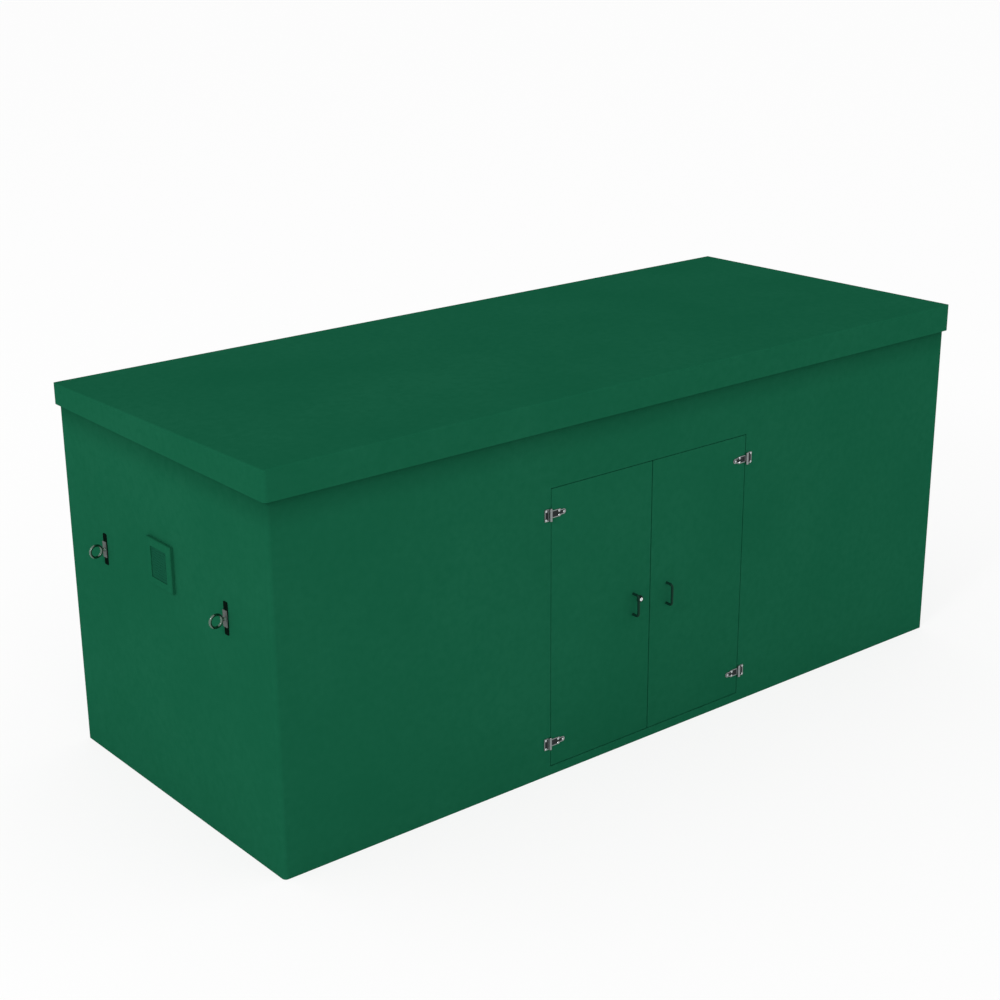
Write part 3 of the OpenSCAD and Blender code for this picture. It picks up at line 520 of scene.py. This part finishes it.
def bevel(radius, segments):
    bpy.ops.mesh.bevel(offset=radius, segments=segments, affect="EDGES", clamp_overlap=True)


def middle(edge):
    return (edge.verts[0].co + edge.verts[1].co) / 2


def runs_along(edge, axis):
    return abs((edge.verts[1].co - edge.verts[0].co).normalized()[axis]) > 0.99


def is_corner(edge, least=radians(20)):
    return len(edge.link_faces) == 2 and edge.calc_face_angle(0) > least


def paint(finish_index):
    """Gives the selected faces one of the piece's materials."""
    bpy.context.edit_object.active_material_index = finish_index
    bpy.ops.object.material_slot_assign()


def finish(piece, body, slot, *nodes, smooth=radians(35)):
    """Closes a modelled piece: outward normals, smooth shading, its body and CAD nodes. The slot is
    not used.
    """
    if piece.mode == "EDIT":
        bpy.ops.mesh.select_all(action="SELECT")
        bpy.ops.mesh.remove_doubles(threshold=0.002 * MM)
        bpy.ops.mesh.normals_make_consistent(inside=False)
        bpy.ops.object.mode_set(mode="OBJECT")
    bpy.ops.object.select_all(action="DESELECT")
    piece.select_set(True)
    bpy.context.view_layer.objects.active = piece
    bpy.ops.object.shade_smooth_by_angle(angle=smooth)
    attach(piece, body)
    if nodes:
        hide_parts(*nodes)
    return piece


def give(piece, *finishes):
    for finish_material in finishes:
        piece.data.materials.append(finish_material)


def copy_piece(source, name, x=0.0, y=0.0, z=0.0, mirrored=False):
    """A copy with its own mesh, moved, or mirrored across the cabinet's middle, and left open."""
    bpy.ops.object.select_all(action="DESELECT")
    piece = source.copy()
    piece.data = source.data.copy()
    piece.name = name
    piece.data.name = name
    bpy.context.collection.objects.link(piece)
    piece.select_set(True)
    bpy.context.view_layer.objects.active = piece
    bpy.ops.object.mode_set(mode="EDIT")
    bpy.ops.mesh.select_all(action="SELECT")
    bpy.ops.transform.translate(value=(x, y, z))
    if mirrored:
        bpy.ops.transform.resize(value=(-1, 1, 1), center_override=(0, 0, 0))
    return piece


def close(piece):
    """Leaves the open mesh of a piece with its normals outward."""
    bpy.ops.mesh.select_all(action="SELECT")
    bpy.ops.mesh.normals_make_consistent(inside=False)
    bpy.ops.object.mode_set(mode="OBJECT")
    return piece


def join(pieces, name):
    """Joins pieces into one, which keeps the first one's materials."""
    bpy.ops.object.select_all(action="DESELECT")
    for piece in pieces:
        piece.select_set(True)
    bpy.context.view_layer.objects.active = pieces[0]
    bpy.ops.object.join()
    pieces[0].name = name
    pieces[0].data.name = name
    return pieces[0]


def cut_with(piece, cutter):
    """Takes the cutter's shape out of a piece, both closed, and removes the cutter."""
    cut = piece.modifiers.new("cut", "BOOLEAN")
    cut.operation = "DIFFERENCE"
    cut.object = cutter
    bpy.context.view_layer.objects.active = piece
    bpy.ops.object.modifier_apply(modifier=cut.name)
    bpy.data.objects.remove(cutter)


def turned(name, centre, profile, sides=32, hollow=False):
    """A turned piece on an axis that points out of the front: a ring drawn from point to point
    of its profile, each a radius and a distance out of the face. It is left open."""
    radius, out = profile[0]
    piece = open_mesh(
        name, bpy.ops.mesh.primitive_circle_add, vertices=sides, radius=radius,
        fill_type="NOTHING" if hollow else "NGON",
        location=centre - Vector((0, out, 0)), rotation=(pi / 2, 0, 0),
    )
    for next_radius, next_out in profile[1:]:
        back = out - next_out
        if hollow:
            bpy.ops.mesh.extrude_edges_move(TRANSFORM_OT_translate={"value": (0, back, 0)})
        else:
            extrude(y=back)
        grown = next_radius / radius
        bpy.ops.transform.resize(value=(grown, 1, grown), center_override=centre)
        radius, out = next_radius, next_out
    if hollow:
        pick("edges", lambda e: len(e.link_faces) == 1)
        bpy.ops.mesh.bridge_edge_loops()
    return piece


# Doors

def drill_for_lock(leaf):
    """Takes the lock's hole out of the left leaf."""
    low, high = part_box("lock_barrel")
    radius = (high.x - low.x) / 2 + LOCK_PLAY
    hole = turned(
        "lock_hole", (low + high) / 2,
        [(radius, -LOCK_HOLE_REACH), (radius, LOCK_HOLE_REACH)], sides=48,
    )
    close(hole)
    cut_with(leaf, hole)


def door_leaf(side):
    """A leaf as it leaves its mould: drafted edges, soft outline and two recessed panels behind."""
    node = f"door_{side}"
    sign = 1 if side == "right" else -1
    low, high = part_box(node)
    size, centre = high - low, (high + low) / 2
    draft = size.y * tan(DOOR_DRAFT)
    panel_depth = size.y - DOOR_SKIN
    meeting, hinged = (low.x, high.x) if side == "right" else (high.x, low.x)
    panel_x = sorted((meeting + sign * MEETING_STILE, hinged - sign * HINGE_STILE))
    grip = (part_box(f"handle_{side}")[0].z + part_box(f"handle_{side}")[1].z) / 2
    panels_z = (
        (low.z + END_RAIL, grip - MIDDLE_RAIL / 2),
        (grip + MIDDLE_RAIL / 2, high.z - END_RAIL),
    )

    def in_panel(point):
        across = panel_x[0] - MM < point.x < panel_x[1] + MM
        return across and any(a - MM < point.z < b + MM for a, b in panels_z)

    leaf = open_mesh(
        f"{node}_moulding", bpy.ops.mesh.primitive_cube_add, size=1, location=centre, scale=size,
    )
    give(leaf, GREEN, PALE)
    pick("verts", lambda v: near(v.co.y, high.y))
    shrink = (1 - 2 * draft / size.x, 1, 1 - 2 * draft / size.z)
    bpy.ops.transform.resize(value=shrink, center_override=centre)
    cuts = [((x, 0, 0), (1, 0, 0)) for x in panel_x]
    cuts += [((0, 0, z), (0, 0, 1)) for pair in panels_z for z in pair]
    for point, normal in cuts:
        pick("faces", lambda f: near(f.calc_center_median().y, high.y))
        bpy.ops.mesh.bisect(plane_co=point, plane_no=normal)
    pick("faces", lambda f: f.normal.y > 0.9 and in_panel(f.calc_center_median()))
    extrude(y=-panel_depth)
    pick("edges", lambda e: runs_along(e, 1) and near(e.calc_length(), panel_depth))
    bevel(PANEL_R, 8)
    pick("edges", lambda e: is_corner(e) and in_panel(middle(e)) and near(middle(e).y, high.y))
    bevel(PANEL_BRIM_R, 3)
    floor = high.y - panel_depth
    pick("edges", lambda e: is_corner(e) and in_panel(middle(e)) and near(middle(e).y, floor))
    bevel(PANEL_FLOOR_R, 4)
    pick("edges", lambda e: runs_along(e, 1) and e.calc_length() > panel_depth
         and not in_panel(middle(e)))
    bevel(DOOR_CORNER_R, 3)
    for face_y in (low.y, high.y):
        pick("edges", lambda e: is_corner(e) and near(middle(e).y, face_y)
             and not in_panel(middle(e)))
        bevel(DOOR_EDGE_R, 3)
    pick("faces", lambda f: f.normal.y > 0.4
         or in_panel(f.calc_center_median()) and f.normal.y > -0.5)
    paint(1)
    if side == "left":
        close(leaf)
        drill_for_lock(leaf)
    return finish(leaf, f"{side}_door", "green_gelcoat", node)


def door_seal():
    """A bulb seal round the stop lip, mitred at its corners."""
    low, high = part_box("door_seal")
    width = high.y - low.y
    seal = open_mesh(
        "door_bulb_seal", bpy.ops.mesh.primitive_plane_add, size=1,
        location=((low.x + high.x) / 2, high.y, (low.z + high.z) / 2),
        rotation=(pi / 2, 0, 0), scale=(high.x - low.x, high.z - low.z, 1),
    )
    give(seal, RUBBER)
    bpy.ops.mesh.inset(thickness=width)
    bpy.ops.mesh.delete(type="FACE")
    bpy.ops.mesh.select_all(action="SELECT")
    extrude(y=low.y - high.y)
    pick("edges", lambda e: is_corner(e) and near(middle(e).y, low.y))
    bevel(DOOR_SEAL_ROUND * width, 6)
    return finish(seal, "cabinet", "seal_rubber", "door_seal")


def meeting_seal():
    """A strip on the left leaf's closing edge, rounded where the right leaf meets it."""
    low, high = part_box("meeting_seal")
    strip = open_mesh(
        "meeting_bulb_seal", bpy.ops.mesh.primitive_cube_add, size=1,
        location=(low + high) / 2, scale=high - low,
    )
    give(strip, RUBBER)
    bulge = high.x - low.x
    pick("edges", lambda e: runs_along(e, 2) and near(middle(e).x, high.x))
    bevel(MEETING_SEAL_ROUND * bulge, 5)
    return finish(strip, "left_door", "seal_rubber", "meeting_seal")


# Hinges

def roll_up(pin, turn):
    """Rolls the selected end faces round the pin, left about or right about."""
    bpy.ops.mesh.spin(
        steps=ROLL_STEPS, dupli=False, angle=turn * ROLL_TURN, center=pin, axis=(0, 0, 1),
    )


def press_border(face, on_plate):
    """Presses the middle of a plate's front slightly in and paints it dark as a painted dark
    reflection, which leaves a brighter border round it.
    """
    pick("faces", lambda f: f.normal.y < -0.9 and near(f.calc_center_median().y, face)
         and on_plate(f.calc_center_median().x))
    bpy.ops.mesh.inset(thickness=HINGE_BORDER, depth=-HINGE_PRESSED)
    paint(1)


def break_edges(face):
    """Rounds the sharp outline at the front of a plate."""
    pick("edges", lambda e: is_corner(e, radians(50)) and near(middle(e).y, face))
    bevel(HINGE_EDGE, 2)


def hinge_wall_leaf():
    """The leaf on the wall by the left upper pin: a plate with its two outer strips rolled up."""
    low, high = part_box("hinge_wall_leaf_left_upper")
    pin = sum(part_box("hinge_pin_left_upper"), Vector()) / 2
    face = high.y - HINGE_THICK
    edge = pin.x - KNUCKLE_R - KNUCKLE_PLAY
    split = MIDDLE_KNUCKLE / 2 + KNUCKLE_PLAY
    plate_low, plate_high = Vector((low.x, face, low.z)), Vector((edge, high.y, high.z))
    plate = open_mesh(
        "hinge_wall_leaf_plate", bpy.ops.mesh.primitive_cube_add, size=1,
        location=(plate_low + plate_high) / 2, scale=plate_high - plate_low,
    )
    give(plate, DULL_STAINLESS, DARK_STAINLESS)
    for height in (pin.z - split, pin.z + split):
        bpy.ops.mesh.select_all(action="SELECT")
        bpy.ops.mesh.bisect(plane_co=(0, 0, height), plane_no=(0, 0, 1))
    pick("faces", lambda f: f.normal.x > 0.9 and abs(f.calc_center_median().z - pin.z) > split)
    extrude(x=pin.x - edge)
    roll_up(pin, -1)
    pick("edges", lambda e: runs_along(e, 1) and near(middle(e).x, low.x)
         and abs(middle(e).z - pin.z) > 2 * split)
    bevel(WALL_LEAF_CORNER, 5)
    press_border(face, lambda x: x < edge)
    break_edges(face)
    return close(plate)


def hinge_door_leaf():
    """The strap on the left door by the same pin: a neck rolled up, shoulders, a taper and a
    round end."""
    low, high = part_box("hinge_door_leaf_left_upper")
    pin = sum(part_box("hinge_pin_left_upper"), Vector()) / 2
    face = high.y - HINGE_THICK
    start = KNUCKLE_R + 2 * KNUCKLE_PLAY
    wide, narrow = (high.z - low.z) / 2, DOOR_LEAF_END / 2
    strap = open_mesh(
        "hinge_door_leaf_plate", bpy.ops.mesh.primitive_cube_add, size=1,
        location=(pin.x + start / 2, high.y - HINGE_THICK / 2, pin.z),
        scale=(start, HINGE_THICK, MIDDLE_KNUCKLE),
    )
    give(strap, DULL_STAINLESS, DARK_STAINLESS)
    pick("faces", lambda f: f.normal.x < -0.9)
    roll_up(pin, 1)
    pick("faces", lambda f: f.normal.x > 0.9 and near(f.calc_center_median().x, pin.x + start))
    for length, grown in (
        (0, 2 * wide / MIDDLE_KNUCKLE),
        (DOOR_LEAF_WIDE - start, 1),
        (wide - narrow, narrow / wide),
        (high.x - pin.x - DOOR_LEAF_WIDE - wide + narrow, 1),
    ):
        extrude(x=length)
        bpy.ops.transform.resize(value=(1, 1, grown), center_override=pin)
    pick("edges", lambda e: runs_along(e, 1) and near(middle(e).x, high.x))
    bevel(narrow * DOOR_LEAF_END_ROUND, 8)
    press_border(face, lambda x: x > pin.x + start)
    break_edges(face)
    return close(strap)


def hinges():
    """Copies the modelled hinge to its four places."""
    wall_leaf, strap = hinge_wall_leaf(), hinge_door_leaf()
    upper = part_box("hinge_pin_left_upper")[0].z
    for side in SIDES:
        for level in LEVELS:
            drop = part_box(f"hinge_pin_{side}_{level}")[0].z - upper
            for source, kind, body in (
                (wall_leaf, "wall", "cabinet"),
                (strap, "door", f"{side}_door"),
            ):
                node = f"hinge_{kind}_leaf_{side}_{level}"
                piece = copy_piece(source, f"{node}_plate", z=drop, mirrored=side == "right")
                finish(piece, body, "polished_stainless", node)
    bpy.data.objects.remove(wall_leaf)
    bpy.data.objects.remove(strap)


# Screws and bolts

def socket_screw(name, centre, shank_r, head_r, head, length, material, sides=24):
    """A button-head screw with a hexagon socket, its seat at the centre and its head out of the
    front."""
    socket = head_r * SOCKET_SHARE
    profile = [(socket, head * SOCKET_FLOOR), (socket * SOCKET_FLARE, head * SOCKET_MOUTH)]
    profile += [
        (socket + (head_r - socket) * sin(t), head * (HEAD_RIM + (1 - HEAD_RIM) * cos(t)))
        for t in DOME_STEPS
    ]
    profile += [
        (head_r, 0), (shank_r, -0.01 * MM),
        (shank_r, SCREW_TIP - length), (shank_r * SCREW_TIP_SHARE, -length),
    ]
    screw = turned(name, centre, profile, sides)
    give(screw, material)
    mesh = bmesh.from_edit_mesh(screw.data)
    for vert in mesh.verts:
        offset = vert.co - centre
        radius = (offset.x ** 2 + offset.z ** 2) ** 0.5
        if offset.y < 0 and radius < socket * 1.05:
            around = atan2(offset.z, offset.x) % (pi / 3) - pi / 6
            flat = cos(pi / 6) / cos(around)
            vert.co = centre + Vector((offset.x * flat, offset.y, offset.z * flat))
    bmesh.update_edit_mesh(screw.data)
    return close(screw)


def hex_nut(name, centre, across, thick, material):
    """A chamfered nut on an axis out of the front, its outer face at the centre."""
    nut = open_mesh(
        name, bpy.ops.mesh.primitive_cylinder_add, vertices=6, radius=across / 2 / cos(pi / 6),
        depth=thick, location=centre + Vector((0, thick / 2, 0)), rotation=(pi / 2, 0, 0),
    )
    give(nut, material)
    pick("edges", lambda e: not runs_along(e, 1))
    bevel(NUT_CHAMFER * across, 2)
    return close(nut)


def repeat(source, places, name):
    """One piece made of a copy of the source at each place, given from the source's own place."""
    copies = [close(copy_piece(source, f"{name}_{i}", *place)) for i, place in enumerate(places)]
    return join(copies, name)


def hinge_screws():
    """Screws of the hinges, on the wall with nuts behind it and in the leaves."""
    plate_face = FRONT - HINGE_THICK
    pins = {
        (side, level): sum(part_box(f"hinge_pin_{side}_{level}"), Vector()) / 2
        for side in SIDES for level in LEVELS
    }
    origin = Vector((0, plate_face, 0))
    screw = socket_screw(
        "hinge_screw", origin, SCREW_R, SCREW_HEAD_R, SCREW_HEAD, SCREW_LENGTH, BRIGHT_STAINLESS,
    )
    nut_thick = SCREW_HEAD
    through = HINGE_THICK + WALL + nut_thick + SCREW_PAST_NUT
    wall_screw = socket_screw(
        "hinge_wall_screw", origin, SCREW_R, SCREW_HEAD_R, SCREW_HEAD, through, BRIGHT_STAINLESS,
    )
    behind_wall = Vector((0, FRONT + WALL, 0))
    nut = hex_nut("hinge_wall_nut", behind_wall, 2 * SCREW_HEAD_R, nut_thick, BRIGHT_STAINLESS)
    wall_screw = join([wall_screw, nut], "hinge_wall_screw")
    out = {"left": -1, "right": 1}
    at_wall = [
        (pin.x + out[side] * WALL_SCREW_SIDE, 0, pin.z + rise)
        for (side, level), pin in pins.items() for rise in (-WALL_SCREW_RISE, WALL_SCREW_RISE)
    ]
    finish(
        repeat(wall_screw, at_wall, "hinge_wall_socket_screws"),
        "cabinet", "polished_stainless", "hinge_wall_screws",
    )
    for side in SIDES:
        at_door = [
            (pins[side, level].x - out[side] * x, 0, pins[side, level].z + z)
            for level in LEVELS for x, z in STRAP_SCREW_PLACES
        ]
        finish(
            repeat(screw, at_door, f"hinge_door_socket_screws_{side}"),
            f"{side}_door", "polished_stainless", f"hinge_door_screws_{side}",
        )
    bpy.data.objects.remove(screw)
    bpy.data.objects.remove(wall_screw)


# Lock

def lock_rings():
    """The black bezel and the plated barrel of the lock, each with a rounded lip; the barrel is
    painted dark as a painted reflection.
    """
    low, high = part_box("lock_bezel")
    centre = Vector(((low.x + high.x) / 2, FRONT, (low.z + high.z) / 2))
    outer = (high.x - low.x) / 2
    out = high.y - low.y
    barrel_low, barrel_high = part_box("lock_barrel")
    barrel_r = (barrel_high.x - barrel_low.x) / 2
    core_low, core_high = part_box("lock_core")
    core_r = (core_high.x - core_low.x) / 2
    bore = barrel_r + LOCK_PLAY
    bezel_profile = [(outer * across, out * height) for across, height in BEZEL_LIP]
    bezel_profile += [(bore + BEZEL_BORE_EDGE, out), (bore, out * BEZEL_BORE_TOP), (bore, 0)]
    bezel = turned("lock_bezel_ring", centre, bezel_profile, sides=48, hollow=True)
    give(bezel, GLOSS_BLACK)
    finish(bezel, "left_door", "black_gloss", "lock_bezel")
    tip = FRONT - barrel_low.y
    tail = FRONT - barrel_high.y
    inner = core_r + CORE_PLAY
    barrel_profile = [(barrel_r, tail)]
    barrel_profile += [(barrel_r - inward, tip - down) for inward, down in BARREL_LIP]
    barrel_profile += [
        (inner + BARREL_INNER_EDGE, tip), (inner, tip - BARREL_INNER_EDGE), (inner, tail),
    ]
    barrel = turned("lock_barrel_tube", centre, barrel_profile, sides=48, hollow=True)
    give(barrel, BARREL_PAINTED_DARK)
    finish(barrel, "left_door", "bright_plating", "lock_barrel")


# Lifting points

def lifting_eye(side, end):
    """The forged eye with its ring blended into its foot, the ring bright and the foot dull."""
    node = f"lifting_eye_{side}_{end}"
    sign = 1 if side == "right" else -1
    source = frame["nodes"][node]
    bpy.ops.object.select_all(action="DESELECT")
    eye = bpy.data.objects.new(f"{node}_forging", source.data.copy())
    bpy.context.collection.objects.link(eye)
    eye.select_set(True)
    bpy.context.view_layer.objects.active = eye
    eye.data.materials.clear()
    give(eye, BRIGHT_PLATING, DULL_PLATING)
    bpy.ops.object.mode_set(mode="EDIT")
    bpy.ops.mesh.select_all(action="SELECT")
    bpy.ops.mesh.remove_doubles(threshold=0.01 * MM)
    bpy.ops.object.mode_set(mode="OBJECT")
    grain = eye.modifiers.new("grain", "REMESH")
    grain.mode = "VOXEL"
    grain.voxel_size = EYE_GRAIN
    bpy.ops.object.modifier_apply(modifier=grain.name)
    blend = eye.modifiers.new("blend", "SMOOTH")
    blend.iterations = EYE_BLEND_PASSES
    bpy.ops.object.modifier_apply(modifier=blend.name)
    pad_low, pad_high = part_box(f"lifting_pad_{side}_{end}")
    pad_face = pad_low.x if side == "left" else pad_high.x
    foot_face = sign * pad_face + EYE_FOOT
    bpy.ops.object.mode_set(mode="EDIT")
    pick("faces", lambda f: sign * f.calc_center_median().x < foot_face)
    paint(1)
    return finish(eye, "cabinet", "bright_plating", node, smooth=radians(60))


def lifting_pad(side, end):
    """The black plate under an eye, with rounded corners and a broken outer edge."""
    node = f"lifting_pad_{side}_{end}"
    low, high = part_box(node)
    outer = low.x if side == "left" else high.x
    pad = open_mesh(
        f"{node}_plate", bpy.ops.mesh.primitive_cube_add, size=1,
        location=(low + high) / 2, scale=high - low,
    )
    give(pad, MATT_BLACK)
    pick("edges", lambda e: runs_along(e, 0))
    bevel(PAD_CORNER_R, 4)
    pick("edges", lambda e: is_corner(e, radians(50)) and near(middle(e).x, outer))
    bevel(PAD_EDGE_R, 3)
    return finish(pad, "cabinet", "black_coated_steel", node)


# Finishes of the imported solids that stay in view, by name or by how the name starts; zinc else
FINISH_BY_NAME = {
    "roof_seal": RUBBER,
    "handle_left": GLOSS_BLACK,
    "handle_right": GLOSS_BLACK,
    "lifting_bolts": MATT_BLACK,
    "body_shell": BODY_FINISH,
    "roof_cover": ROOF_FINISH,
    "lock_core": CHROME,
}
FINISH_BY_START = (
    ("vent_screen_", SCREEN_GREEN),
    ("vent_frame_", GREEN),
    ("hinge_pin_", BRIGHT_STAINLESS),
)


def dress_solids():
    """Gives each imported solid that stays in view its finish."""
    for name, solid in frame["nodes"].items():
        found = [material for start, material in FINISH_BY_START if name.startswith(start)]
        chosen = FINISH_BY_NAME.get(name) or (found[0] if found else ZINC)
        for slot in solid.material_slots:
            slot.material = chosen


for door_side in SIDES:
    door_leaf(door_side)
door_seal()
meeting_seal()
hinges()
hinge_screws()
lock_rings()
for eye_side in SIDES:
    for eye_end in ENDS:
        lifting_eye(eye_side, eye_end)
        lifting_pad(eye_side, eye_end)
dress_solids()


# Stage: floor, light and camera

FLOOR_SIZE = 240
# How much of the floor shows as plain white; the rest shows the light that falls on it
FLOOR_WHITE = 0.8

# Brightness of the surround at the horizon and overhead, and how much it gains towards the left
SKY_HORIZON = 1.41
SKY_ZENITH = 0.61
SKY_LEFT = 0.06

KEY_PLACE = Vector((-11.5, -4.5, 8.4))
KEY_AIM = Vector((-0.6, -0.3, 0.7))
KEY_SIZE = 2.4
KEY_WATTS = 400

# The camera that was fitted to the photograph's straight edges
CAMERA_PLACE = (-4.1224, -4.9314, 2.9943)
CAMERA_PITCH = radians(70.185)
CAMERA_YAW = radians(-40.023)
CAMERA_LENS_MM = 67.81
CAMERA_SENSOR_MM = 36
CAMERA_SHIFT = (-0.0356, 0.008)


def background_rays(tree):
    """1 for what the camera sees straight or mirrored, and 0 for what lights the object."""
    path = add(tree, "ShaderNodeLightPath").outputs
    seen = path["Is Camera Ray"]
    for kind in ("Is Glossy Ray", "Is Transmission Ray"):
        seen = add(tree, "ShaderNodeMath", {0: seen, 1: path[kind]}, operation="MAXIMUM").outputs[0]
    return seen


def outside_walls(tree, place):
    """1 on the floor outside the cabinet, and 0 on the ground that its walls enclose."""
    folded = add(tree, "ShaderNodeVectorMath", {0: place}, operation="ABSOLUTE").outputs[0]
    parts = add(tree, "ShaderNodeSeparateXYZ", {"Vector": folded}).outputs
    past_x, past_y = [
        add(
            tree, "ShaderNodeMath", {0: parts[axis], 1: limit - WALL}, operation="GREATER_THAN",
        ).outputs[0]
        for axis, limit in (("X", BODY_HIGH.x), ("Y", BODY_HIGH.y))
    ]
    return add(tree, "ShaderNodeMath", {0: past_x, 1: past_y}, operation="MAXIMUM").outputs[0]


def white_floor():
    """A wide pale floor that shows as white and keeps a faint shadow of the object. Inside the
    cabinet it is lit only by what comes in."""
    bpy.ops.object.select_all(action="DESELECT")
    bpy.ops.mesh.primitive_plane_add(size=FLOOR_SIZE)
    floor = bpy.context.active_object
    floor.name = "floor"
    made, tree, plain, place = start_material("white_floor", Roughness=1.0, Specular_IOR_Level=0.0)
    seen = background_rays(tree)
    paint_tone = add(
        tree, "ShaderNodeMix",
        {0: seen, 6: linear("#FAFAFA"), 7: linear("#FFFFFF")}, data_type="RGBA",
    )
    tree.links.new(paint_tone.outputs[2], plain.inputs["Base Color"])
    glowing = add(
        tree, "ShaderNodeMath", {0: seen, 1: outside_walls(tree, place)}, operation="MULTIPLY",
    )
    share = add(
        tree, "ShaderNodeMath", {0: glowing.outputs[0], 1: FLOOR_WHITE}, operation="MULTIPLY",
    )
    glow = add(tree, "ShaderNodeEmission", {"Color": linear("#FFFFFF"), "Strength": 1.0})
    mixed = add(
        tree, "ShaderNodeMixShader",
        {0: share.outputs[0], 1: plain.outputs[0], 2: glow.outputs[0]},
    )
    tree.links.new(mixed.outputs[0], tree.nodes["Material Output"].inputs["Surface"])
    floor.data.materials.append(made)


def soft_sky():
    """A white surround like a light tent: brightest at the horizon, and a little to the left."""
    world = bpy.data.worlds.new("soft_sky")
    bpy.context.scene.world = world
    world.use_nodes = True
    tree = world.node_tree
    seen = background_rays(tree)
    direction = add(tree, "ShaderNodeTexCoord").outputs["Generated"]
    lean = (-SKY_LEFT, 0, SKY_ZENITH - SKY_HORIZON)
    fall = add(tree, "ShaderNodeVectorMath", {0: direction, 1: lean}, operation="DOT_PRODUCT")
    level = add(
        tree, "ShaderNodeMath", {0: fall.outputs["Value"], 1: SKY_HORIZON}, operation="ADD",
    ).outputs[0]
    strength = add(tree, "ShaderNodeMix", {0: seen, 2: level, 3: 1.0}, data_type="FLOAT")
    tree.links.new(strength.outputs[0], tree.nodes["Background"].inputs["Strength"])
    tree.nodes["Background"].inputs["Color"].default_value = linear("#FFFFFF")


def key_light():
    """A small lamp high on the left, which lifts the end wall a little and gives the metal its
    highlights."""
    data = bpy.data.lights.new("key_light", "AREA")
    data.shape = "DISK"
    data.size = KEY_SIZE
    data.energy = KEY_WATTS
    light = bpy.data.objects.new("key_light", data)
    light.location = KEY_PLACE
    light.rotation_euler = (KEY_AIM - KEY_PLACE).to_track_quat("-Z", "Y").to_euler()
    bpy.context.collection.objects.link(light)


def camera():
    """The photograph's view: left end and front, from above eye height."""
    data = bpy.data.cameras.new("camera")
    data.lens = CAMERA_LENS_MM
    data.sensor_width = CAMERA_SENSOR_MM
    data.shift_x, data.shift_y = CAMERA_SHIFT
    view = bpy.data.objects.new("camera", data)
    view.location = CAMERA_PLACE
    view.rotation_euler = (CAMERA_PITCH, 0, CAMERA_YAW)
    bpy.context.collection.objects.link(view)
    bpy.context.scene.camera = view


white_floor()
soft_sky()
key_light()
camera()
bpy.context.scene.view_settings.view_transform = "Standard"
